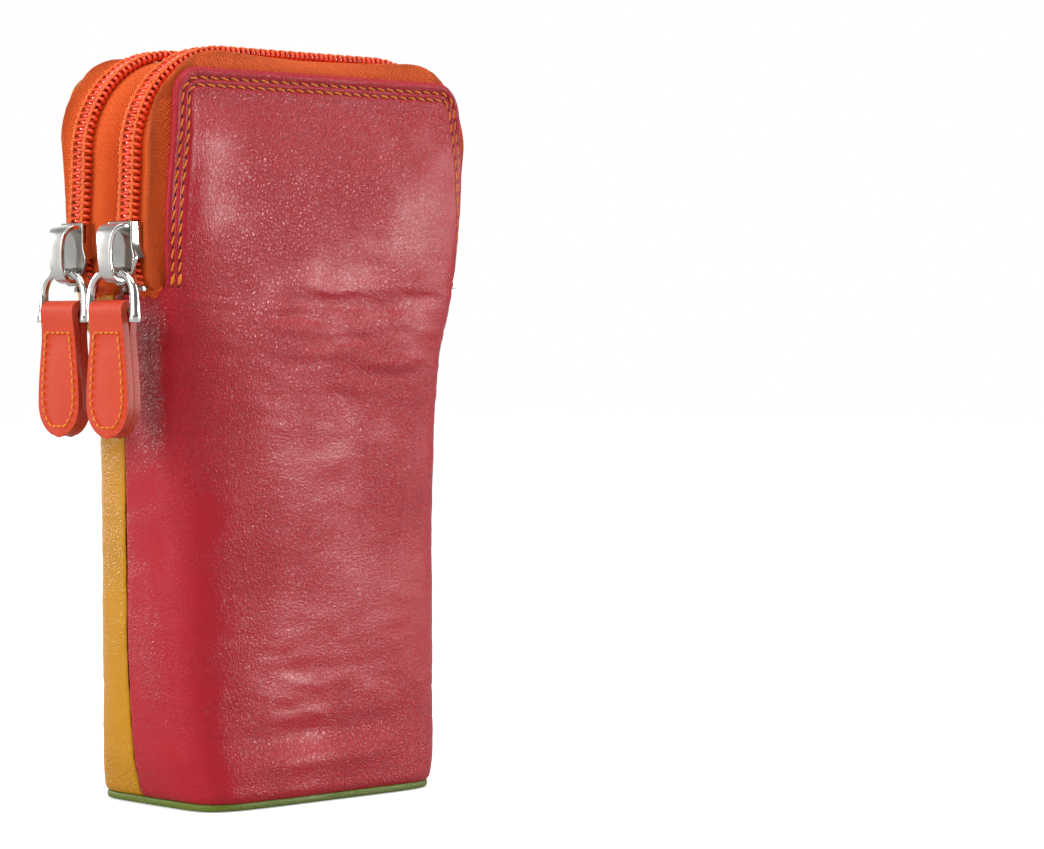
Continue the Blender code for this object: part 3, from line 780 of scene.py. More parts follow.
def cloth_weave():
    """Crossing threads on a measured sheet, given in centimetres, drawn slantwise as a twill."""
    found = bpy.data.node_groups.get("cloth_weave")
    if found:
        return found
    maker = effect_group(
        "cloth_weave",
        (
            ("Measure", "NodeSocketVector", None),
            ("Threads", "NodeSocketFloat", 22.0),
            ("Slant", "NodeSocketFloat", 0.5),
        ),
        (("Height", "NodeSocketFloat"), ("Shade", "NodeSocketFloat")),
    )
    measure, threads, slant = (maker.inside.outputs[i] for i in range(3))
    parts = maker.node("ShaderNodeSeparateXYZ", {0: measure})
    turn = 2 * math.pi
    wobble = maker.noise(measure, 9.0)
    along = maker.math("MULTIPLY", parts.outputs[0], threads)
    along = maker.math("ADD", along, maker.math("MULTIPLY", wobble, 1.1))
    across = maker.math("MULTIPLY", parts.outputs[1], threads)
    one = maker.math("SINE", maker.math("MULTIPLY", along, turn))
    two = maker.math("SINE", maker.math("MULTIPLY", across, turn))
    grains = maker.math("MULTIPLY", one, two)
    leaning = maker.math("ADD", along, maker.math("MULTIPLY", across, slant))
    rib = maker.math("SINE", maker.math("MULTIPLY", leaning, turn * 0.42))
    grains, rib = maker.math("MULTIPLY", grains, 0.48), maker.math("MULTIPLY", rib, 0.10)
    height = maker.math("ADD", maker.math("ADD", grains, rib), 0.5)
    maker.tree.links.new(height, maker.out.inputs["Height"])
    # Shade rises with the weave's height: it is painted shade between the threads and painted light
    # on their crowns
    shade = maker.ramp(height, 0.1, 0.8)
    maker.tree.links.new(shade, maker.out.inputs["Shade"])
    return maker.tree


def darker(colour, share):
    return tuple(c * share for c in colour)


def lighter(colour, share, added=0.0):
    return tuple(min(1.0, c * share + added) for c in colour)


@made_once
def leather_finish(name, tint, grain=900.0, depth=1.0, roughness=0.27, relief=0.00009, deep=0.45):
    """Grained leather. deep is the share of the tint that is left in the cracks."""
    make = Finish(name)
    grained = make.tree.nodes.new("ShaderNodeGroup")
    grained.node_tree = leather_grain()
    for label, value in (("Place", make.place()), ("Scale", grain), ("Depth", depth)):
        make.feed(grained.inputs[label], value)
    cracks = grained.outputs["Cracks"]
    tone = make.ramp(grained.outputs["Tone"], 0.3, 0.7)
    body = make.mix(tone, darker(tint, 0.93), lighter(tint, 1.05))
    shown = make.mix(make.math("MULTIPLY", cracks, 0.44), body, darker(tint, deep))
    rough = make.math("ADD", make.math("MULTIPLY", cracks, 0.18), roughness)
    make.shade(Base_Color=shown, Roughness=rough, Specular_IOR_Level=0.22)
    make.relief(grained.outputs["Height"], relief)
    return make.material


@made_once
def edge_finish(name, tint, roughness=0.35):
    """Cut or painted edges of leather: plain, a little glossy, with a faint fibre."""
    make = Finish(name)
    fibre = make.noise(make.place(), 1600.0, 3.0)
    shown = make.mix(make.ramp(fibre, 0.35, 0.65), darker(tint, 0.75), tint)
    make.shade(Base_Color=shown, Roughness=roughness)
    make.relief(fibre, 0.00006)
    return make.material


@made_once
def weave_finish(name, tint, threads, slant, relief, roughness=0.85):
    """Woven cloth with a little fuzz, its threads counted to the centimetre."""
    make = Finish(name)
    measure = make.node("ShaderNodeUVMap", uv_map="weave").outputs["UV"]
    woven = make.tree.nodes.new("ShaderNodeGroup")
    woven.node_tree = cloth_weave()
    for label, value in (("Measure", measure), ("Threads", threads), ("Slant", slant)):
        make.feed(woven.inputs[label], value)
    place = make.place()
    slow = make.noise(place, 90.0, 4.0)
    # The weave's own pattern, with painted shade in its valleys and painted light on its crowns
    shown = make.mix(woven.outputs["Shade"], darker(tint, 0.78), lighter(tint, 1.22, 0.008))
    shown = make.mix(make.ramp(slow, 0.3, 0.7, 0.0, 0.15), shown, darker(tint, 0.7))
    make.shade(Base_Color=shown, Roughness=roughness, Specular_IOR_Level=0.2)
    make.shade(Sheen_Weight=0.35, Sheen_Roughness=0.45, Sheen_Tint=(1.0, 0.25, 0.06))
    fuzz = make.math("MULTIPLY", make.noise(place, 2600.0), 0.35)
    make.relief(make.math("ADD", woven.outputs["Height"], fuzz), relief)
    return make.material


@made_once
def thread_finish(name, tint):
    make = Finish(name)
    values = {"Vector": make.place(), "Scale": 900.0, "Distortion": 1.5}
    ply = make.node("ShaderNodeTexWave", values, bands_direction="DIAGONAL").outputs["Fac"]
    shown = make.mix(ply, darker(tint, 0.78), lighter(tint, 1.15))
    make.shade(Base_Color=shown, Roughness=0.6, Specular_IOR_Level=0.3)
    make.relief(ply, 0.00008)
    return make.material


@made_once
def nylon_finish(name, tint):
    make = Finish(name)
    slow = make.noise(make.place(), 160.0, 3.0)
    shown = make.mix(make.ramp(slow, 0.35, 0.65), darker(tint, 0.8), lighter(tint, 1.12))
    make.shade(Base_Color=shown, Roughness=make.ramp(slow, 0.3, 0.7, 0.22, 0.34))
    make.shade(Coat_Weight=0.2, Coat_Roughness=0.12)
    return make.material


@made_once
def metal_finish(name, tint, roughness, brushed=0.0):
    """Plated metal with faint upright marks, duller the more it is brushed."""
    make = Finish(name)
    place = make.place()
    lines = make.node("ShaderNodeMapping", {"Vector": place, "Scale": (1.0, 1.0, 0.06)})
    marks = make.noise(lines.outputs[0], 2400.0, 3.0)
    slow = make.noise(place, 260.0, 3.0)
    rough = make.ramp(slow, 0.3, 0.7, roughness, roughness + 0.06)
    shown = make.mix(make.ramp(slow, 0.3, 0.7), darker(tint, 0.92), tint)
    make.shade(Base_Color=shown, Metallic=1.0, Roughness=make.math("ADD", rough, brushed))
    make.relief(marks, 0.00002 + 0.00005 * brushed, 0.5)
    return make.material


@made_once
def hole_shade_finish(name):
    make = Finish(name)
    speck = make.noise(make.place(), 3000.0)
    # Near-black with faint specks: painted shade inside the needle holes
    shown = make.mix(speck, (0.012, 0.004, 0.003), (0.05, 0.012, 0.010))
    make.shade(Base_Color=shown, Roughness=0.9)
    return make.material


# ---------------------------------------------------------------- leather panels


def panel_levels():
    """Heights of the panel's rows: close where it is sewn, turned or creased."""
    low = [1.7, 2.0, 2.5, 3.2, 4.0, 5.0, 6.0]
    middle = list(np.arange(7.0, 113.5, 1.05))
    middle += [114.2, 115.0, 115.8, 116.5, 117.1, 117.6, 118.0]
    shoulder = [118.1, 118.3, 118.6, 119.0, 119.5, 120.1, 120.9, 121.8, 122.8]
    upper = list(np.arange(123.8, 160.0, 1.05))
    border = [8.8, 8.0, 7.3, 6.7, 6.1, 5.6, 5.2, 4.85, 4.55, 4.3, 4.05, 3.75, 3.4, 3.1]
    border += [2.85, 2.6, 2.35, 2.05, 1.7, 1.35, 1.05, 0.8, 0.55, 0.35, 0.2, 0.09, 0.03, 0.0]
    body = np.array(low + middle + shoulder + upper) * 0.001
    return np.concatenate([body, PANEL_TOP - np.array(border) * 0.001])


# Distances in from a flap's edge, close where it is sewn and turned
BORDER = np.array(
    [6.4, 5.9, 5.4, 5.0, 4.7, 4.45, 4.2, 3.95, 3.65, 3.35, 3.05, 2.8, 2.5, 2.25, 1.95]
    + [1.6, 1.25, 0.95, 0.65, 0.4, 0.2, 0.06, 0.0]
) * 0.001
# Shares of the way from the face's edge round to the side seam
WRAP = np.array(
    [0.06, 0.13, 0.21, 0.30, 0.40, 0.50, 0.60, 0.69, 0.77, 0.84, 0.895, 0.935, 0.965, 0.985, 1.0]
)


def half_columns(height, far, facing):
    """Distances round, from the middle of the face to the side seam, for one row."""
    edge = edge_run(height, far) - corner_cut(height)
    inner = np.linspace(0, edge - 0.0069, 36)
    face = np.concatenate([inner, edge - BORDER])
    ring = Ring.level(min(height, SECTION_TOP))
    end = ring.seam + float(seam_shift(facing, 1.0 if far else -1.0))
    if far:
        wave = noise.noise(Vector((height * 1000 / 1.9, 4.4, 0.3)))
        end += (0.00018 * wave if facing > 0 else -0.0002) - 0.0001
    else:
        end -= 0.0002
    return np.concatenate([face, edge + (end - edge) * WRAP])


def panel_points(facing):
    """Rows of (distance round, height), and which of them fall in the open zip's place."""
    rows, cut = [], []
    for z in panel_levels():
        right, left = half_columns(z, True, facing), half_columns(z, False, facing)
        along = np.concatenate([-left[:0:-1], right])
        rows.append(np.c_[along, np.full_like(along, z)])
        outside = np.zeros(len(along), bool)
        if z > SHOULDER + 1e-6:
            outside[: len(WRAP)] = True
            outside[-len(WRAP) :] = True
        cut.append(outside)
    return np.array(rows), np.array(cut)


def laid_out(facing, rows):
    """Points of the plain section for rows of (distance round, height)."""
    points = np.empty((*rows.shape[:2], 3))
    for i, row in enumerate(rows):
        x, depth = Ring.level(min(row[0, 1], SECTION_TOP)).at(row[:, 0])
        points[i] = np.c_[x, facing * depth, row[:, 1]]
    return points


def outward_of(facing, rows):
    """Unit normals of the plain section for rows of (distance round, height)."""
    out = np.empty((*rows.shape[:2], 3))
    for i, row in enumerate(rows):
        along, height = row[:, 0], min(row[0, 1], SECTION_TOP)
        ring = Ring.level(height)
        x1, y1 = ring.at(along + PROBE)
        x0, y0 = ring.at(along - PROBE)
        across = np.c_[x1 - x0, facing * (y1 - y0), np.zeros(len(along))]
        top, low = min(height + PROBE, SECTION_TOP), max(height - PROBE, 0.0)
        x1, y1 = Ring.level(top).at(along)
        x0, y0 = Ring.level(low).at(along)
        up = np.c_[x1 - x0, facing * (y1 - y0), np.full(len(along), top - low)]
        out[i] = np.cross(across, up) if facing < 0 else np.cross(up, across)
    return out / np.linalg.norm(out, axis=2, keepdims=True)


def leather_panel(side, facing, finish, edge):
    rows, cut = panel_points(facing)
    plain = laid_out(facing, rows)
    rise = relief(facing, rows[..., 0].ravel(), rows[..., 1].ravel()).reshape(rows.shape[:2])
    points = plain + outward_of(facing, rows) * rise[..., None]
    obj = grid_sheet(f"{side}_leather", points, cut)
    if facing > 0:
        turn_over(obj)
    dress(obj, "pink_leather" if facing < 0 else "yellow_leather", finish, edge)
    thicken(obj, sizes().leather, -1.0, rim=1)
    smooth(obj)
    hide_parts(f"{side}_panel", f"{side}_flap")
    bend_with_flap(obj)


class CASE_OT_leather_panels(bpy.types.Operator):
    """Model the front and back leather, each in one piece from the base to the flap's edge"""

    bl_idname = "case.leather_panels"
    bl_label = "Leather Panels"

    def execute(self, context):
        tint = colours()
        pink = leather_finish("pink_grained_leather", tuple(tint.pink), 940.0, 1.0, 0.23, 0.00010)
        # Darker and more purple than the panel: the turned edge's own tone, with painted shade and
        # painted dark reflection on its side
        pink_edge_shade = edge_finish("pink_turned_edge", (0.26, 0.022, 0.045))
        yellow = leather_finish(
            "yellow_grained_leather", tuple(tint.yellow), 760.0, 1.0, 0.24, 0.00013, 0.55
        )
        yellow_rim = edge_finish("yellow_cut_edge", (0.42, 0.17, 0.012))
        leather_panel("front", -1, pink, pink_edge_shade)
        leather_panel("back", 1, yellow, yellow_rim)
        return {"FINISHED"}


# ---------------------------------------------------------------- linings and base


def pocket_lining(side, facing):
    """The cloth inside one panel, cut back above the shoulder to where the flap's tape begins."""
    body, flap = np.linspace(0.0034, 0.1175, 60), np.linspace(0.1182, PANEL_TOP - 0.0058, 34)
    inner = sizes().leather + 0.0004
    rows, cut = [], []
    for z in np.concatenate([body, flap]):
        edge = edge_run(z, True) - 0.0085 if z > SHOULDER else edge_run(z, True)
        seam = Ring.level(z).seam - 0.0022
        face = np.linspace(0, edge, 22)
        wrap = np.linspace(edge, seam, 11)[1:]
        right = np.concatenate([face, wrap])
        along = np.concatenate([-right[:0:-1], right])
        rows.append(np.c_[along, np.full_like(along, z)])
        outside = np.zeros(len(along), bool)
        if z > SHOULDER:
            outside[:10] = True
            outside[-10:] = True
        cut.append(outside)
    rows = np.array(rows)
    plain = laid_out(facing, rows)
    ripple = np.array(
        [noise.noise(Vector((u * 60, z * 40, 2.0 + facing))) for u, z in rows.reshape(-1, 2)]
    ).reshape(rows.shape[:2])
    drop = inner + 0.00016 * (1 + ripple)
    points = plain - outward_of(facing, rows) * drop[..., None]
    obj = grid_sheet(f"{side}_lining", points)
    measure_weave(obj, rows.reshape(-1, 2) * 100)
    select_points(obj, np.array(cut).reshape(-1))
    edit(obj, lambda: bpy.ops.mesh.delete(type="VERT"))
    if facing > 0:
        turn_over(obj)
    finish = weave_finish("lining_weave", tuple(colours().lining), 16.0, 0.0, 0.00008)
    dress(obj, "lining", finish)
    thicken(obj, sizes().lining, -1.0)
    smooth(obj)
    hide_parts(f"{side}_pocket_lining", f"{side}_flap_lining")
    bend_with_flap(obj)


def base_outline(height, inset, count=28):
    """(x, y) all the way round the section at a height."""
    ring = Ring.level(height)
    along = np.linspace(0, ring.seam, count)
    x, y = ring.at(along)
    x, y = x * (1 - inset / x.max()), y * (1 - inset / y.max())
    quarter = list(zip(x, y))
    half = quarter + [(a, -b) for a, b in quarter[-2::-1]]
    return half + [(-a, b) for a, b in half[-2:0:-1]]


def base_leather():
    """The green base, its foot rounded, with the grain of the panels."""
    outline = base_outline(0.0, 0.0004)
    deselect()
    bpy.ops.mesh.primitive_circle_add(vertices=len(outline), radius=1, fill_type="NGON")
    obj = named("base_leather")
    obj.data.vertices.foreach_set("co", np.array([(x, y, 0.0) for x, y in outline]).ravel())
    lift = {"value": (0, 0, 0.00175)}
    edit(
        obj,
        everything,
        lambda: bpy.ops.mesh.extrude_region_move(TRANSFORM_OT_translate=lift),
        outward,
    )
    round_edges(obj, 0.0006, 3, 50)
    apply_modifiers(obj)
    smooth(obj, 50)
    dress(obj, "green_leather", leather_finish("green_grained_leather", tuple(colours().green)))
    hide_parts("base_panel")
    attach(obj, "case")


class CASE_OT_linings(bpy.types.Operator):
    """Model the pocket linings, and dress the divider and the base board"""

    bl_idname = "case.linings"
    bl_label = "Linings"

    def execute(self, context):
        for side, facing in SIDES:
            pocket_lining(side, facing)
        fabric = lining_cloth()
        for node in ("divider", "base_board"):
            redress(node, fabric)
        return {"FINISHED"}


def lining_cloth():
    """The lining's cloth where there is no measured sheet: threads laid across the object."""
    make = Finish("lining_cloth")
    tint = tuple(colours().lining)
    threads = {"Vector": make.place(), "Scale": 500.0}
    warp = make.node("ShaderNodeTexWave", threads, bands_direction="X").outputs["Fac"]
    weft = make.node("ShaderNodeTexWave", threads, bands_direction="Z").outputs["Fac"]
    both = make.math("MULTIPLY", warp, weft)
    shown = make.mix(both, darker(tint, 0.6), tint)
    make.shade(Base_Color=shown, Roughness=0.85, Sheen_Weight=0.2)
    make.relief(both, 0.00008)
    return make.material


class CASE_OT_base(bpy.types.Operator):
    """Model the green leather base"""

    bl_idname = "case.base"
    bl_label = "Base"

    def execute(self, context):
        base_leather()
        return {"FINISHED"}


# ---------------------------------------------------------------- stitching


def row_path(row):
    """Points (distance round, height) of a row of stitches, from one zip end to the other."""
    radius = max(FLAP_CORNER - row, 0.0016)
    spring = PANEL_TOP - row - radius
    heights = np.arange(SHOULDER + 0.0018, spring, 0.0004)
    left = [(-(edge_run(z, False) - row), z) for z in heights]
    right = [(edge_run(z, True) - row, z) for z in heights]
    corner = np.linspace(0, math.pi / 2, 14)
    end_left, end_right = edge_run(spring, False) - row, edge_run(spring, True) - row
    for t in corner:
        out, up = radius * math.cos(t), spring + radius * math.sin(t)
        left.append((-(end_left - radius + out), up))
        right.append((end_right - radius + out, up))
    span = np.arange(-(end_left - radius) + 0.0004, end_right - radius, 0.0004)
    return np.array(left + [(u, PANEL_TOP - row) for u in span] + right[::-1])


def walked(path, step):
    """Distances of even steps along a path, and the distance of each of its points."""
    run = np.concatenate([[0], np.cumsum(np.hypot(*np.diff(path, axis=0).T))])
    count = int(run[-1] / step)
    return run[-1] * np.arange(count + 1) / count, run


def at_run(path, run, mark):
    return np.array([np.interp(mark, run, path[:, i]) for i in range(path.shape[1])])


def stitch_strands(facing, row, pitch):
    """The visible arcs of the stitches, each leaning a little across the row."""
    share, lean = 0.74, 0.00030
    path = row_path(row)
    marks, run = walked(path, pitch)
    strands, holes = [], []
    thread = sizes().thread
    half = pitch * share / 2
    for mark in marks[:-1]:
        middle = mark + pitch / 2
        strand = []
        for k in range(7):
            t = -1 + 2 * k / 6
            here = at_run(path, run, middle + t * half)
            ahead = at_run(path, run, middle + t * half + 0.0002) - here
            ahead /= max(np.hypot(*ahead), 1e-9)
            here = here + np.array([-ahead[1], ahead[0]]) * lean * t * facing
            lift = thread * (0.42 - 0.95 * abs(t) ** 3.5)
            strand.append(on_leather(facing, here[0], here[1], lift))
        strands.append(strand)
        holes.append(at_run(path, run, mark))
    holes.append(at_run(path, run, marks[-1]))
    return strands, holes, path, run


def needle_holes(name, facing, holes):
    """Small dark ovals laid just over the leather where the thread goes in: painted shade of the
    needle holes.
    """
    deselect()
    bpy.ops.mesh.primitive_uv_sphere_add(segments=8, ring_count=5, radius=1)
    dent = named(name)
    flat = np.empty(len(dent.data.vertices) * 3, np.float32)
    dent.data.vertices.foreach_get("co", flat)
    shape = flat.reshape(-1, 3).astype(float)
    pieces = [dent]
    for i, (along, height) in enumerate(holes):
        copy = dent if i == 0 else dent.copy()
        if i:
            copy.data = dent.data.copy()
            bpy.context.scene.collection.objects.link(copy)
            pieces.append(copy)
        out = base_normal(facing, along, height)
        centre = on_leather(facing, along, height, 0.00002)
        up = np.array([0, 0, 1.0]) if height < PANEL_TOP - 0.006 else np.array([1.0, 0, 0])
        one = np.cross(up, out)
        one /= np.linalg.norm(one)
        two = np.cross(out, one)
        places = (
            centre
            + np.outer(shape[:, 0] * 0.00030, one)
            + np.outer(shape[:, 1] * 0.00046, two)
            + np.outer(shape[:, 2] * 0.00010, out)
        )
        copy.data.vertices.foreach_set("co", places.ravel())
    obj = joined(name, pieces)
    smooth(obj)
    dress(obj, "brown_thread", hole_shade_finish("needle_holes"))
    bend_with_flap(obj)


def back_tacks(facing, path, run):
    """Three short threads side by side at each end of a row."""
    strands = []
    for end, sign in ((0.0, 1), (run[-1], -1)):
        for k in range(3):
            first = end + sign * (0.0002 + 0.0003 * k)
            last = first + sign * 0.0020
            strand = []
            for t in np.linspace(0, 1, 6):
                along, height = at_run(path, run, first + (last - first) * t)
                # The ends go down into the leather
                lift = 0.00012 + 0.00022 * math.sin(math.pi * t) - 0.0003 * (t in (0.0, 1.0))
                strand.append(on_leather(facing, along + (k - 1) * 0.00022, height, lift))
            strands.append(strand)
    return strands


def flap_stitching(side, facing, slot, finish):
    pitch = sizes().stitch_pitch
    for label, row in (("edge", sizes().row_one), ("hem", sizes().row_two)):
        strands, holes, path, run = stitch_strands(facing, row, pitch)
        strands += back_tacks(facing, path, run)
        obj = tube(f"{side}_{label}_stitches", strands, sizes().thread / 2, sides=1)
        dress(obj, slot, finish)
        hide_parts(f"{side}_{label}_seam")
        bend_with_flap(obj)
        needle_holes(f"{side}_{label}_holes", facing, holes)


class CASE_OT_flap_stitching(bpy.types.Operator):
    """Sew the two rows of stitches round each flap, with the painted shade of the needle holes
    between them
    """

    bl_idname = "case.flap_stitching"
    bl_label = "Flap Stitching"

    def execute(self, context):
        tint = colours()
        orange = thread_finish("orange_sewing_thread", tuple(tint.orange_thread))
        brown = thread_finish("brown_sewing_thread", tuple(tint.brown_thread))
        flap_stitching("front", -1, "orange_thread", orange)
        flap_stitching("back", 1, "brown_thread", brown)
        return {"FINISHED"}


# ---------------------------------------------------------------- zips


class ZipLine:
    """The upside-down U that both zips follow, by distance from the foot on the slider's side."""

    side = ZIP_TOP - ZIP_CORNER - (SHOULDER + 0.0002)
    corner = ZIP_CORNER * math.pi / 2
    top = 2 * (ZIP_REACH - ZIP_CORNER)
    whole = 2 * side + 2 * corner + top

    @classmethod
    def at(cls, run):
        """Arrays of (x, z) and of the outward direction at distances along the zip."""
        run = np.asarray(run, float)
        back = run > cls.whole / 2
        here = np.where(back, cls.whole - run, run)
        spring, flat = ZIP_TOP - ZIP_CORNER, ZIP_REACH - ZIP_CORNER
        turn = np.clip((here - cls.side) / ZIP_CORNER, 0, math.pi / 2)
        over = np.maximum(here - cls.side - cls.corner, 0)
        x = -flat - ZIP_CORNER * np.cos(turn) + over
        z = spring + ZIP_CORNER * np.sin(turn) + np.minimum(here - cls.side, 0)
        out_x, out_z = -np.cos(turn), np.sin(turn)
        sign = np.where(back, -1, 1)
        # The soft side run bellies out above its foot, which tucks in behind the leather
        belly = 0.0007 * bump(np.minimum(here, cls.side) - 0.014, 0.010)
        belly = belly * (here < cls.side + 0.012)
        rise = np.where(back, 0.0048, 0.0026)
        belly = belly - 0.0052 * smoothstep((rise - here) / rise)
        return np.c_[sign * (x + out_x * belly), z], np.c_[sign * out_x, out_z]

    @classmethod
    def fractions(cls):
        """Even distances within each run and corner, as many as the leather's edge has points."""
        a, b, c = ZIP_PARTS
        half = np.concatenate(
            [
                -0.0016 + (cls.side + 0.0016) * np.arange(a) / a,
                cls.side + np.linspace(0, cls.corner, b, endpoint=False),
                cls.side + cls.corner + np.linspace(0, cls.top, c),
            ]
        )
        return np.concatenate([half, cls.whole - half[a + b - 1 :: -1]])


def chain_parting(run):
    """How far a coil or tape stands off from the middle of the zip, near the slider's neck."""
    return 0.0016 * (1 - smoothstep((np.asarray(run) + 0.0002) / 0.0087))


def leather_edge_line():
    """(distance round, height) of the flap's edge and the direction out of it, foot to foot."""
    a, b, c = ZIP_PARTS
    spring = PANEL_TOP - FLAP_CORNER
    heights = SHOULDER - 0.0014 + (spring - SHOULDER + 0.0014) * np.arange(a) / a
    turn = np.linspace(0, math.pi / 2, b, endpoint=False)

    def half(far):
        sign = 1 if far else -1
        side = [(sign * edge_run(z, far), z) for z in heights]
        middle = edge_run(spring, far) - FLAP_CORNER
        corner = [
            (sign * (middle + FLAP_CORNER * math.cos(t)), spring + FLAP_CORNER * math.sin(t))
            for t in turn
        ]
        away = [(sign, 0.0)] * a + [(sign * math.cos(t), math.sin(t)) for t in turn]
        return side + corner, away, sign * middle

    left, left_away, left_end = half(False)
    right, right_away, right_end = half(True)
    top = [(u, PANEL_TOP) for u in np.linspace(left_end, right_end, c)]
    line = left + top + right[::-1]
    away = left_away + [(0.0, 1.0)] * c + right_away[::-1]
    return np.array(line), np.array(away)


def bezier(first, second, third, fourth, count):
    """Rows of points from the first to the fourth, drawn towards the two between them."""
    t = np.linspace(0, 1, count)[:, None, None]
    near = (1 - t) ** 3 * first + 3 * (1 - t) ** 2 * t * second
    return near + 3 * (1 - t) * t**2 * third + t**3 * fourth


def crumple(points, run, amount, seed):
    """Rumples the tape's ends near the zip's feet."""
    foot = np.minimum(run, ZipLine.whole - run)
    near = np.exp(-foot / 0.0032) * amount + 0.00007
    out = points.copy()
    for i, j in np.ndindex(points.shape[:2]):
        shake = noise.noise_vector(Vector(points[i, j] * 430) + Vector((seed, 0, 0)))
        out[i, j] += np.array(shake) * near[j]
    return out


def outer_tape(side, facing, finish):
    """From behind the flap's turned edge, round out to the coil on the flap's side of the zip."""
    run = ZipLine.fractions()
    edge, away = leather_edge_line()
    drop = sizes().leather + 0.00045
    start, behind, leave = [], [], []
    for (along, height), (du, dz) in zip(edge, away):
        height = min(height, PANEL_TOP - 0.00001)
        here, inside, back = (
            under_leather(facing, along - du * step, height - dz * step, drop)
            for step in (0.0003, 0.0013, 0.0055)
        )
        start.append(here)
        behind.append(back)
        way = here - inside
        leave.append(way / np.linalg.norm(way))
    start, behind, leave = np.array(start), np.array(behind), np.array(leave)
    place, out = ZipLine.at(run)
    centre = np.c_[place[:, 0], np.zeros(len(run)), place[:, 1]]
    outer = ZIP_SPREAD + 0.0041
    inner = ZIP_SPREAD + 0.0002 + chain_parting(run)
    way3 = np.array([0, facing, 0])
    chain = centre + way3 * outer
    out3 = np.c_[out[:, 0], np.zeros(len(run)), out[:, 1]]
    gap = np.linalg.norm(chain - start, axis=1)[:, None]
    foot = np.minimum(run, ZipLine.whole - run)
    # The side runs stand out full. The top stays low, so that the chain shows over it
    swell = 0.0016 * smoothstep((foot - 0.001) / 0.008)
    swell = swell * (1 - smoothstep((foot - ZipLine.side) / 0.022))
    full = out3 * swell[:, None]
    curve = bezier(
        start,
        start + leave * (0.42 * gap) + full * 0.5,
        chain + way3 * (0.38 * gap) + out3 * 0.0006 + full,
        chain,
        13,
    )
    margin = [behind + (start - behind) * t for t in (0.0, 0.5)]
    flat = [centre + way3 * (outer + (inner - outer) * t)[:, None] for t in (0.33, 0.66, 1.0)]
    points = np.array(margin + list(curve) + flat)
    points[2:-3] = crumple(points[2:-3], run, 0.0007, 3.0 + facing)
    obj = tape_sheet(f"{side}_flap_tape", points, run, finish)
    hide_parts(f"{side}_outer_tape")
    bend_with_flap(obj)


def tape_sheet(name, points, run, finish):
    """A tape through rows of points, each point at its distance along the zip."""
    across = np.concatenate(
        [[0], np.cumsum(np.linalg.norm(np.diff(points, axis=0), axis=2).mean(axis=1))]
    )
    measure = np.stack(np.broadcast_arrays(run[None, :] * 100, across[:, None] * 100), axis=2)
    obj = grid_sheet(name, points)
    measure_weave(obj, measure.reshape(-1, 2))
    dress(obj, "orange_tape", finish)
    thicken(obj, sizes().tape, 0.0)
    edit(obj, outward)
    smooth(obj)
    return obj


def inner_tape(side, facing, finish):
    """From the coil on the divider's side of the zip down into the valley between the zips."""
    run = ZipLine.fractions()
    place, out = ZipLine.at(run)
    centre = np.c_[place[:, 0], np.zeros(len(run)), place[:, 1]]
    out3 = np.c_[out[:, 0], np.zeros(len(run)), out[:, 1]]
    way = np.array([0, facing, 0.0])
    near = ZIP_SPREAD - 0.0002 - chain_parting(run)
    far = ZIP_SPREAD - 0.0040
    flat = [centre + way * (near + (far - near) * t)[:, None] for t in (0.0, 0.33, 0.66)]
    bend = centre + way * far
    valley = centre + way * 0.0012 - out3 * 0.0031
    low_pull = valley + out3 * 0.0016 + way * 0.0010
    curve = bezier(bend, bend - way * 0.0020, low_pull, valley, 11)
    margin = [valley - out3 * t for t in (0.0016, 0.0042)]
    points = np.array(flat + list(curve) + margin)
    points[3:] = crumple(points[3:], run, 0.0004, 8.0 + facing)
    points[..., 1] = facing * np.maximum(facing * points[..., 1], 0.0009)
    obj = tape_sheet(f"{side}_divider_tape", points, run, finish)
    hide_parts(f"{side}_inner_tape")
    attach(obj, "case")


def tape_end(name, facing, finish, sign):
    """The rumpled cut end of a zip's tape, pushed in behind the leather's top edge."""
    columns, rows = 34, 16
    points = np.empty((rows, columns, 3))
    depth = np.linspace(ZIP_SPREAD - 0.0050, ZIP_SPREAD + 0.0054, columns)
    for i in range(rows):
        t = i / (rows - 1)
        z = SHOULDER - 0.0016 + 0.0034 * t
        for j, y in enumerate(depth):
            hidden = 0.0018 * (2 * j / (columns - 1) - 1) ** 4
            out = 0.0446 - 0.0032 * (1 - t) ** 1.6 - hidden
            shake = noise.noise_vector(Vector((y * 520, z * 420, 31.0 * sign + facing)))
            fine = noise.noise(Vector((y * 1500, z * 900, 7.0 * sign + facing)))
            edge = 0.0008 * noise.noise(Vector((y * 900, 3.0, sign))) * t
            x = out + (0.0008 * shake.x + 0.0003 * fine) * t
            points[i, j] = (sign * x, facing * (y + 0.0004 * shake.y), z + 0.0007 * shake.z + edge)
    run = np.linspace(0, 0.0104, columns)
    obj = tape_sheet(name, points, run, finish)
    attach(obj, "case")


def foot_strip(name, facing, finish):
    """The raw leather strip that shows above the shoulder's edge, beside the chain's far end."""
    ring = Ring.level(SHOULDER)
    around = np.linspace(edge_run(SHOULDER, True) + 0.0014, ring.seam - 0.0012, 30)
    heights = SHOULDER + np.linspace(-0.0016, 0.0017, 9)
    points = np.empty((len(heights), len(around), 3))
    for i, z in enumerate(heights):
        for j, u in enumerate(around):
            wave = 0.00022 * noise.noise(Vector((u * 420, z * 300, 5.0)))
            points[i, j] = under_leather(facing, u, z, 0.0011 + wave)
            points[i, j, 2] += 0.0003 * noise.noise(Vector((u * 260, 1.0, 9.0))) * (i / 8)
    obj = grid_sheet(name, points)
    dress(obj, "yellow_leather", finish)
    thicken(obj, 0.0010, 0.0)
    edit(obj, outward)
    smooth(obj, 40)
    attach(obj, "case")


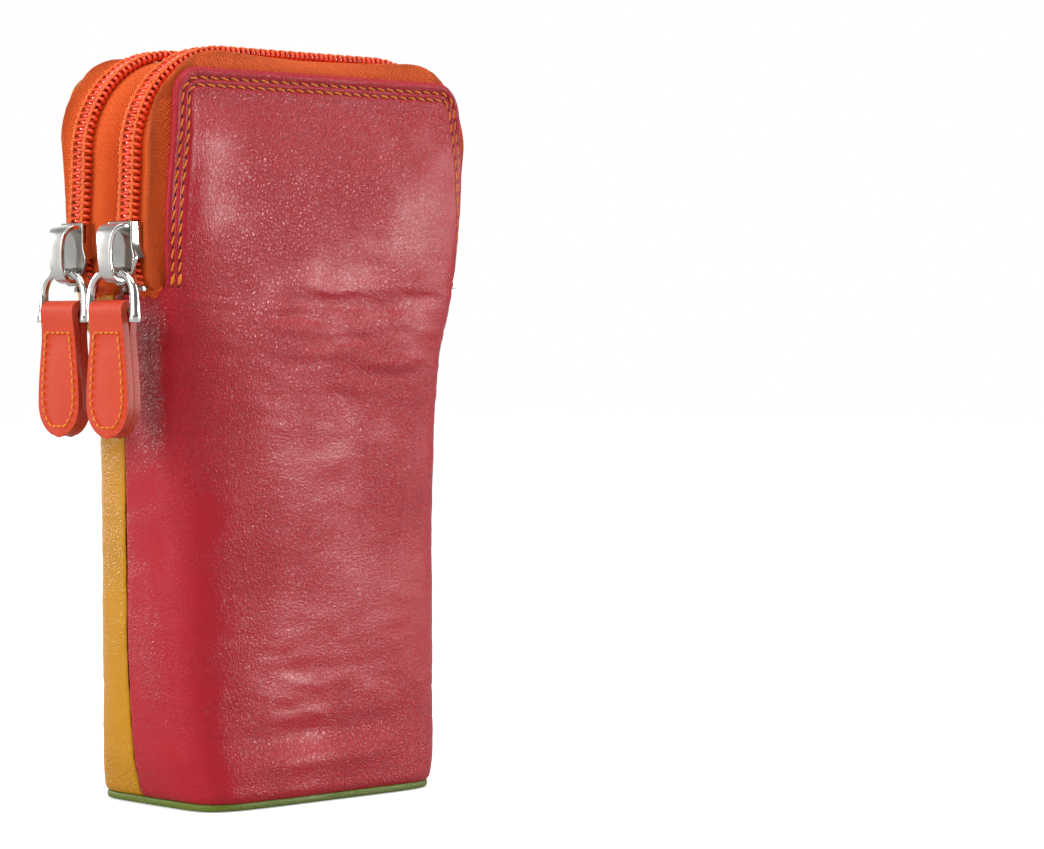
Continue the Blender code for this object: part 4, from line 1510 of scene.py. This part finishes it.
class CASE_OT_zip_tapes(bpy.types.Operator):
    """Model the four woven tapes that carry the coils"""

    bl_idname = "case.zip_tapes"
    bl_label = "Zip Tapes"

    def execute(self, context):
        finish = weave_finish("orange_tape_weave", tuple(colours().tape), 15.0, 0.9, 0.00026, 0.75)
        for side, facing in SIDES:
            outer_tape(side, facing, finish)
            inner_tape(side, facing, finish)
            for sign, end in ((-1, "near"), (1, "far")):
                tape_end(f"{side}_{end}_tape_end", facing, finish, sign)
        foot_strip("back_far_strip", 1, edge_finish("raw_leather_strip", (0.60, 0.15, 0.02), 0.5))
        return {"FINISHED"}


def coil_strand(facing, half, first, last):
    """One half of a chain, wound as a flattened spiral whose heads meet the other half's."""
    pitch, wire = sizes().coil_pitch, sizes().coil_wire
    per_turn = 13
    turns = int((last - first) / pitch)
    phase = 0.5 if half < 0 else 0.0
    angle = np.arange(turns * per_turn + 1) * 2 * math.pi / per_turn
    run = first + (angle / (2 * math.pi) + phase) * pitch
    cosine, sine = np.cos(angle), np.sin(angle)
    across = 0.00125 + 0.00205 * np.sign(cosine) * np.abs(cosine) ** 0.75
    rise = 0.00042 + wire / 2 + 0.00068 + 0.00068 * np.sign(sine) * np.abs(sine) ** 0.7
    # The head of each turn stands a little higher than its tail
    rise += 0.00010 * np.clip(-cosine, 0, 1)
    place, out = ZipLine.at(run)
    depth = ZIP_SPREAD + half * (across + chain_parting(run))
    x = place[:, 0] + out[:, 0] * rise
    z = place[:, 1] + out[:, 1] * rise
    return np.c_[x, facing * depth, z]


def coil_threads(facing, half, first, last):
    """Two plies of the thread that sews a coil to its tape, crossing once at every turn."""
    pitch = sizes().coil_pitch
    steps = int((last - first) / pitch) * 5
    run = first + np.arange(steps + 1) * pitch / 5
    strands = []
    for ply in (-1, 1):
        swing = np.cos(math.pi * (run - first) / pitch) * ply
        across = 0.00218 + 0.00031 * swing
        rise = 0.00244 + 0.00016 * np.cos(2 * math.pi * (run - first) / pitch) + 0.00006 * ply
        place, out = ZipLine.at(run)
        depth = ZIP_SPREAD + half * (across + chain_parting(run))
        x, z = place[:, 0] + out[:, 0] * rise, place[:, 1] + out[:, 1] * rise
        strands.append(np.c_[x, facing * depth, z])
    return strands


class CASE_OT_zip_coils(bpy.types.Operator):
    """Wind the nylon coils and the threads that sew them to the tapes"""

    bl_idname = "case.zip_coils"
    bl_label = "Zip Coils"

    def execute(self, context):
        tint = colours()
        nylon = nylon_finish("red_nylon_coil", tuple(tint.coil))
        cotton = thread_finish("coil_sewing_thread", tuple(tint.coil_thread))
        first, last = 0.0022, ZipLine.whole - 0.0050
        for side, facing in SIDES:
            for half, label, cad in ((1, "flap", "outer"), (-1, "divider", "inner")):
                strand = coil_strand(facing, half, first, last)
                coil = tube(f"{side}_{label}_coil", [strand], sizes().coil_wire / 2, sides=1)
                dress(coil, "red_coil", nylon)
                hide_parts(f"{side}_{cad}_coil")
                strands = coil_threads(facing, half, first, last)
                sewn = tube(f"{side}_{label}_coil_thread", strands, 0.00031, sides=1)
                dress(sewn, "orange_thread", cotton)
                for obj in (coil, sewn):
                    if half > 0:
                        bend_with_flap(obj)
                    else:
                        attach(obj, "case")
        return {"FINISHED"}


# ---------------------------------------------------------------- sliders


def slider_levels():
    """Distances from the case's middle to the faces of the slider's plates, inside to outside."""
    low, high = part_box("front_slider_body")
    outer = -low.x
    inner = -high.x
    return inner, inner + 0.0012, outer - 0.0012, outer


def shield(nose, widest, top):
    """(y, z) round a slider's plate: a broad head, pointed shoulders, then a narrow nose."""
    foot, head, shoulder = -0.00725, 0.00725, -0.0011
    right = [(nose * 0.4, foot), (nose * 0.85, foot + 0.0004), (nose * 1.1, foot + 0.0012)]
    right += [
        (nose + (widest - nose) * 0.62, foot + (shoulder - foot) * 0.56),
        (widest * 0.97, shoulder - 0.0006),
        (widest, shoulder),
        (widest * 0.95, shoulder + 0.0008),
        (top * 1.06, shoulder + 0.0022),
        (top, shoulder + 0.0038),
        (top, head - 0.0003),
        (top - 0.0003, head),
    ]
    return right + [(-y, z) for y, z in reversed(right)]


def slider_wall(name, sign):
    """A side wall that bends down from the front plate and follows its edge along the chain."""
    outer = [(0.0043, 0.0070), (0.0043, 0.0024), (0.0046, 0.0010), (0.0053, -0.0010)]
    inner = [(0.0045, -0.0011), (0.0038, 0.0009), (0.0035, 0.0024), (0.0035, 0.0070)]
    outline = [(sign * y, z) for y, z in outer + inner]
    return flat_plate(name, outline[::-sign], 0.0029, 0.0)


def slider_body(side, facing, chrome):
    inner, inner_face, outer_face, outer = slider_levels()
    front = flat_plate(f"{side}_slider_front", shield(0.0025, 0.0054, 0.0043), 0.0012, 0.0003)
    pieces = [moved(front, (-(outer - 0.0012), 0, 0))]
    back = flat_plate(f"{side}_slider_back", shield(0.0024, 0.0040, 0.0036), 0.0011, 0.0003)
    pieces.append(moved(back, (-inner, 0, 0)))
    for sign in (1, -1):
        wall = slider_wall(f"{side}_slider_wall", sign)
        pieces.append(moved(wall, (-(outer - 0.0035), 0, 0)))
    deselect()
    depth = outer_face - inner_face + 0.001
    bpy.ops.mesh.primitive_cylinder_add(
        vertices=24, radius=0.0008, depth=depth, rotation=(0, math.pi / 2, 0)
    )
    neck = named(f"{side}_slider_neck")
    neck.location = (-(outer_face + inner_face) / 2, 0, -0.0058)
    only(neck)
    bpy.ops.object.transform_apply()
    pieces.append(neck)
    obj = joined(f"{side}_slider", pieces)
    moved(obj, (0, facing * ZIP_SPREAD, SLIDER_MIDDLE))
    smooth(obj, 35)
    # chrome here is the sliders' darker metal, which carries painted shade
    dress(obj, "chrome", chrome)
    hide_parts(f"{side}_slider_body")
    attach(obj, f"{side}_slider")


def crown_profile():
    """(distance out from the plate, height) along the crown, from its head to its foot."""
    knots = np.array(
        [
            (-0.0002, 0.0066),
            (0.0016, 0.0068),
            (0.0031, 0.0063),
            (0.0042, 0.0050),
            (0.0046, 0.0031),
            (0.0046, 0.0006),
            (0.0045, -0.0022),
            (0.0041, -0.0044),
            (0.0032, -0.0059),
            (0.0018, -0.0067),
            (-0.0002, -0.0067),
        ]
    )
    run = np.concatenate([[0], np.cumsum(np.hypot(*np.diff(knots, axis=0).T))])
    fine = np.linspace(0, run[-1], 45)
    line = np.c_[np.interp(fine, run, knots[:, 0]), np.interp(fine, run, knots[:, 1])]
    for _ in range(6):
        line[1:-1] = 0.25 * line[:-2] + 0.5 * line[1:-1] + 0.25 * line[2:]
    return line


def slider_crown(side, facing, finish, chrome):
    """The bridge that the ring hangs in: broad at its head, waisted, with a softened face."""
    profile = crown_profile()
    plate = slider_levels()[3]
    heights = [-0.0067, -0.004, 0.001, 0.0045, 0.0068]
    half = np.interp(profile[:, 1], heights, [0.0020, 0.0023, 0.0025, 0.0030, 0.0037])
    columns = np.array([-1.0, -0.86, -0.6, -0.3, 0.0, 0.3, 0.6, 0.86, 1.0])
    points = np.empty((len(profile), len(columns), 3))
    for i, ((out, z), reach) in enumerate(zip(profile, half)):
        for j, share in enumerate(columns):
            crowned = 0.00022 * (1 - share**2)
            points[i, j] = (-(plate + out + crowned), share * reach, z)
    obj = grid_sheet(f"{side}_crown", points)
    edit(obj, outward)
    middle = obj.data.polygons[len(obj.data.polygons) // 2]
    if middle.normal.x > 0:
        turn_over(obj)
    obj.data.materials.append(finish)
    obj.data.materials.append(chrome)
    thicken(obj, 0.00115, -1.0, rim=1, round_rim=0.00028, segments=2)
    moved(obj, (0, facing * ZIP_SPREAD, SLIDER_MIDDLE))
    smooth(obj)
    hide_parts(f"{side}_slider_crown")
    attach(obj, f"{side}_slider")


def end_clip(name, low, high, rounding_width, tilt=0.0):
    """A folded metal clip with a pressed mark on its outer face."""
    middle, span = (low + high) / 2, high - low
    deselect()
    bpy.ops.mesh.primitive_cube_add(size=1, location=middle, rotation=(tilt, 0, 0))
    clip = named(name)
    clip.scale = span
    bpy.ops.object.transform_apply()
    sign = 1 if middle.x > 0 else -1
    reach = max(sign * v.co.x for v in clip.data.vertices)
    select_points(clip, [sign * v.co.x > reach - 0.0002 for v in clip.data.vertices])
    inset = min(span.y, span.z) * 0.24
    edit(
        clip,
        lambda: bpy.ops.mesh.inset(thickness=inset, depth=0),
        lambda: bpy.ops.mesh.inset(thickness=0.00025, depth=-0.00022),
    )
    round_edges(clip, rounding_width, 3, 30)
    apply_modifiers(clip)
    smooth(clip, 30)
    return clip


def end_metal(side, facing, chrome, dull):
    """The folded metal clip at the chain's far end, and the small stops below the slider."""
    low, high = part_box(f"{side}_retainer_box")
    lift = Vector((0, 0, 0.0017))
    clip = end_clip(f"{side}_retainer", low + lift, high + lift, 0.0005, facing * 0.09)
    dress(clip, "chrome", chrome)
    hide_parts(f"{side}_retainer_box")
    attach(clip, "case")
    stops = []
    for half in ("inner", "outer"):
        low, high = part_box(f"{side}_{half}_top_stop")
        middle = (low + high) / 2 + Vector((0.0012, 0, 0.0004))
        size = Vector((0.0007, 0.0006, 0.0006))
        stops.append(end_clip(f"{side}_{half}_stop", middle - size, middle + size, 0.0002))
    pair = joined(f"{side}_stops", stops)
    dress(pair, "chrome", dull)
    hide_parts(f"{side}_inner_top_stop", f"{side}_outer_top_stop")
    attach(pair, "case")


class CASE_OT_sliders(bpy.types.Operator):
    """Model the sliders with their crowns, and the zips' metal ends"""

    bl_idname = "case.sliders"
    bl_label = "Sliders"

    def execute(self, context):
        tint = tuple(colours().chrome)
        chrome = metal_finish("polished_metal", tint, 0.07)
        satin = metal_finish("satin_metal", darker(tint, 0.95), 0.20, 0.10)
        # The sliders' bodies get a darker copy of the chrome: painted shade and painted dark
        # reflection of the hollow under the crown
        shaded_plates = metal_finish("slider_metal", darker(tint, 0.70), 0.10)
        dull = metal_finish("stop_metal", darker(tint, 0.42), 0.22)
        pressed = metal_finish("pressed_metal", darker(tint, 0.66), 0.26, 0.08)
        for side, facing in SIDES:
            slider_body(side, facing, shaded_plates)
            slider_crown(side, facing, satin, chrome)
            end_metal(side, facing, pressed, dull)
        return {"FINISHED"}


# ---------------------------------------------------------------- pulls


def joint_place(name):
    return next(j for j in frame["joints"] if j["name"] == name)["pos_m"]


def pull_ring(side, chrome):
    """A bent bar through the crown, whose legs thicken towards flat ends beside the tab."""
    x, y, top = joint_place(f"{side}_ring_swing")
    pin = joint_place(f"{side}_tab_swing")[2]
    foot = pin - 0.0026
    leg = 0.0080
    straight = pin + 0.0022
    turn = np.linspace(0, math.pi / 2, 15)
    arc = np.c_[leg * np.cos(turn) ** 0.82, straight + (top - straight) * np.sin(turn) ** 0.82]
    line = [(leg * 1.01, foot), (leg * 1.02, foot + 0.0015), (leg * 1.01, straight - 0.0006)]
    line = np.array(line + list(arc))
    whole = np.r_[line, np.c_[-line[-2::-1, 0], line[-2::-1, 1]]]
    share = np.clip((top - whole[:, 1]) / (top - foot), 0, 1)
    radii = 0.00090 + 0.00056 * share**1.4
    points = np.c_[np.full(len(whole), x), y + whole[:, 0], whole[:, 1]]
    obj = tube(f"{side}_ring", [points], 1.0, sides=6, radii=radii)
    round_edges(obj, 0.00025, 2, 50)
    apply_modifiers(obj)
    smooth(obj, 40)
    dress(obj, "chrome", chrome)
    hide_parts(f"{side}_pull_ring")
    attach(obj, f"{side}_pull_ring")
    redress(f"{side}_pull_pin", chrome)


def tab_half_width(below):
    """Half width of a tab at a distance below its pin."""
    low = TAB_HALF - 0.0001
    widening = smoothstep((below - 0.0015) / (TAB_END - low - 0.002))
    grown = TAB_NECK + (low - TAB_NECK) * widening
    into = np.clip(below - (TAB_END - low), 0, low)
    return grown * np.sqrt(np.maximum(1 - (into / low) ** 2.15, 0.0))


def tab_profile():
    """(out from the pin, distance below it) up the front leaf, over the pin and down the back."""
    below = TAB_END * (1 - np.linspace(0, 1, 34) ** 1.15)
    loose = TAB_BULGE * bump(below, 0.0035)
    front = np.c_[TAB_GAP + loose, below]
    turn = np.linspace(0, math.pi, 15)[1:-1]
    radius = TAB_GAP + TAB_BULGE
    over = np.c_[radius * np.cos(turn), -radius * 0.98 * np.sin(turn)]
    return np.r_[front, over, front[::-1] * (-1, 1)]


def pull_tab(side, finish, edge, thread):
    x, y, pin = joint_place(f"{side}_tab_swing")
    profile = tab_profile()
    columns = np.sin(np.linspace(-math.pi / 2, math.pi / 2, 19))
    points = np.empty((len(profile), len(columns), 3))
    for i, (out, below) in enumerate(profile):
        reach = max(float(tab_half_width(max(below, 0.0))), 0.0004)
        for j, share in enumerate(columns):
            puffed = 0.00016 * bump(share, 0.55) * smoothstep((below - 0.008) / 0.003)
            points[i, j] = (x - out - math.copysign(puffed, out), y + share * reach, pin - below)
    obj = grid_sheet(f"{side}_tab", points)
    edit(obj, outward)
    face = min(obj.data.polygons, key=lambda p: p.center.x)
    if face.normal.x > 0:
        turn_over(obj)
    dress(obj, "orange_leather", finish, edge)
    thicken(obj, 0.00172, 0.0, rim=1, round_rim=0.0004, segments=3)
    smooth(obj)
    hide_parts(f"{side}_pull_tab")
    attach(obj, f"{side}_pull_tab")
    sewn = tube(f"{side}_tab_stitches", tab_stitches(x, y, pin), 0.00026, sides=1)
    dress(sewn, "orange_thread", thread)
    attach(sewn, f"{side}_pull_tab")


def tab_stitches(x, y, pin):
    """A closed row of stitches round the sewn part of the tab, on both faces."""
    inset, first = 0.0019, 0.0050
    below = np.linspace(first, TAB_END - inset - 0.0004, 60)
    reach = np.maximum(tab_half_width(below + inset * 0.55) - inset, 0)
    right = np.c_[reach, below]
    path = np.r_[right, np.c_[-reach[::-1], below[::-1]], [(0.0, first)], right[:1]]
    strands = []
    marks, run = walked(path, 0.0019)
    for mark in marks[:-1]:
        for face in (-1, 1):
            strand = []
            for k in range(6):
                t = -1 + 2 * k / 5
                here = at_run(path, run, mark + 0.00095 + t * 0.00066)
                puffed = 0.00016 * bump(here[0] / TAB_HALF, 0.55)
                leaf = TAB_GAP + 0.00086 + TAB_BULGE * float(bump(here[1], 0.0035)) + puffed
                out = leaf + 0.00026 * (0.75 - 1.2 * abs(t) ** 3)
                strand.append((x + face * out, y + here[0], pin - here[1]))
            strands.append(strand)
    return strands


class CASE_OT_pulls(bpy.types.Operator):
    """Model the swinging rings and the folded leather tabs with their stitching"""

    bl_idname = "case.pulls"
    bl_label = "Rings and Tabs"

    def execute(self, context):
        tint = colours()
        chrome = metal_finish("polished_metal", tuple(tint.chrome), 0.07)
        coral = leather_finish(
            "coral_smooth_leather", tuple(tint.coral), 1500.0, 0.5, 0.50, 0.00006, 0.75
        )
        paint = edge_finish("coral_edge_paint", darker(tuple(tint.coral), 0.85), 0.55)
        thread = thread_finish("orange_sewing_thread", tuple(tint.orange_thread))
        for side, _ in SIDES:
            pull_ring(side, chrome)
            pull_tab(side, coral, paint, thread)
        return {"FINISHED"}


# ---------------------------------------------------------------- stage


# (name, azimuth, elevation, distance, size, power, gloss only), in degrees, metres and watts
LIGHTS = (
    ("key_right", 64, 14, 1.15, (0.6, 1.0), 7.4, False),
    ("fill_left", -104, 16, 1.2, (0.45, 1.0), 6.8, False),
    ("fill_corner", -66, 22, 1.3, (0.5, 0.7), 4.2, False),
    ("card_left", -142, 6, 1.2, (0.55, 1.1), 1.0, False),
    ("top_soft", 10, 72, 1.0, (0.6, 0.5), 2.6, False),
    ("accent_front", 36, 6, 1.1, (0.16, 0.26), 8.0, True),
    ("key_back", 160, 12, 1.2, (0.6, 1.0), 2.8, False),
    ("accent_back", -165, 12, 1.1, (0.16, 0.26), 4.5, True),
)


def softbox(name, azimuth, elevation, distance, size, power, gloss_only):
    """A broad soft light that faces the case from a direction, 0 being straight in front."""
    turn, rise = math.radians(azimuth), math.radians(elevation)
    level = math.cos(rise)
    way = Vector((math.sin(turn) * level, -math.cos(turn) * level, math.sin(rise)))
    data = bpy.data.lights.new(name, "AREA")
    data.shape = "RECTANGLE"
    data.size, data.size_y = size
    data.energy = power
    lamp = bpy.data.objects.new(name, data)
    bpy.context.scene.collection.objects.link(lamp)
    lamp.location = Vector((0, 0, 0.09)) + way * distance
    lamp.rotation_euler = (-way).to_track_quat("-Z", "Y").to_euler()
    lamp.visible_diffuse = not gloss_only


class CASE_OT_stage(bpy.types.Operator):
    """Set up the pale floor, the soft studio lights and the camera"""

    bl_idname = "case.stage"
    bl_label = "Stage"

    def execute(self, context):
        scene = context.scene
        deselect()
        bpy.ops.mesh.primitive_plane_add(size=6, location=(0, 0, -0.0002))
        floor = named("studio_floor")
        make = Finish("pale_floor")
        shown = make.mix(make.noise(make.place(), 3.0), (0.48, 0.48, 0.48), (0.50, 0.50, 0.50))
        make.shade(Base_Color=shown, Roughness=0.9)
        paper = make.node("ShaderNodeBsdfDiffuse", {"Color": (0.92, 0.92, 0.92, 1.0)})
        glow = make.node("ShaderNodeEmission", {"Strength": 0.47})
        bright = make.node("ShaderNodeAddShader", {0: paper.outputs[0], 1: glow.outputs[0]})
        seen = make.node("ShaderNodeLightPath")
        either = make.node(
            "ShaderNodeMixShader",
            {0: seen.outputs["Is Camera Ray"], 1: make.shader.outputs[0], 2: bright.outputs[0]},
        )
        make.tree.links.new(either.outputs[0], make.tree.nodes["Material Output"].inputs["Surface"])
        floor.data.materials.append(make.material)

        world = bpy.data.worlds.new("studio")
        scene.world = world
        world.use_nodes = True
        nodes, links = world.node_tree.nodes, world.node_tree.links
        room = nodes["Background"]
        room.inputs["Color"].default_value = (1, 1, 1, 1)
        room.inputs["Strength"].default_value = 0.18
        paper = nodes.new("ShaderNodeBackground")
        paper.inputs["Strength"].default_value = 1.0
        paper.inputs["Color"].default_value = (1, 1, 1, 1)
        seen = nodes.new("ShaderNodeLightPath")
        either = nodes.new("ShaderNodeMixShader")
        links.new(seen.outputs["Is Camera Ray"], either.inputs[0])
        links.new(room.outputs[0], either.inputs[1])
        links.new(paper.outputs[0], either.inputs[2])
        links.new(either.outputs[0], nodes["World Output"].inputs["Surface"])

        for light in LIGHTS:
            softbox(*light)
        sun = bpy.data.lights.new("ceiling", "SUN")
        sun.energy = 1.5
        sun.angle = 1.3
        lamp = bpy.data.objects.new("ceiling", sun)
        scene.collection.objects.link(lamp)

        data = bpy.data.cameras.new("camera")
        data.sensor_width = 36.0
        data.lens = 115.9
        data.clip_start = 0.05
        camera = bpy.data.objects.new("camera", data)
        scene.collection.objects.link(camera)
        camera.location = (-0.5109, -0.6195, 0.1085)
        heading = math.radians(39.515 + 4.314)
        pitch = math.radians(-1.500)
        camera.rotation_euler = (math.pi / 2 + pitch, 0, -heading)
        scene.camera = camera
        scene.view_settings.view_transform = "Standard"
        return {"FINISHED"}


# ---------------------------------------------------------------- panel and registration

STEPS = (
    "leather_panels",
    "linings",
    "base",
    "flap_stitching",
    "zip_tapes",
    "zip_coils",
    "sliders",
    "pulls",
    "stage",
)


class CASE_PT_sidebar(bpy.types.Panel):
    bl_idname = "CASE_PT_sidebar"
    bl_label = "Glasses Case"
    bl_space_type = "VIEW_3D"
    bl_region_type = "UI"
    bl_category = "Glasses Case"

    def draw(self, context):
        for step in STEPS:
            self.layout.operator(f"case.{step}")
        for group in (context.scene.case_sizes, context.scene.case_colours):
            column = self.layout.column()
            for name in group.__annotations__:
                column.prop(group, name)


CLASSES = (
    CaseSizes,
    CaseColours,
    CASE_OT_leather_panels,
    CASE_OT_linings,
    CASE_OT_base,
    CASE_OT_flap_stitching,
    CASE_OT_zip_tapes,
    CASE_OT_zip_coils,
    CASE_OT_sliders,
    CASE_OT_pulls,
    CASE_OT_stage,
    CASE_PT_sidebar,
)


def register():
    for cls in CLASSES:
        bpy.utils.register_class(cls)
    bpy.types.Scene.case_sizes = bpy.props.PointerProperty(type=CaseSizes)
    bpy.types.Scene.case_colours = bpy.props.PointerProperty(type=CaseColours)


def unregister():
    del bpy.types.Scene.case_colours
    del bpy.types.Scene.case_sizes
    for cls in reversed(CLASSES):
        bpy.utils.unregister_class(cls)


def main():
    register()
    for step in STEPS:
        if getattr(bpy.ops.case, step)() != {"FINISHED"}:
            raise RuntimeError(f"{step} didn't finish")
    bpy.context.view_layer.update()


if __name__ == "__main__":
    main()
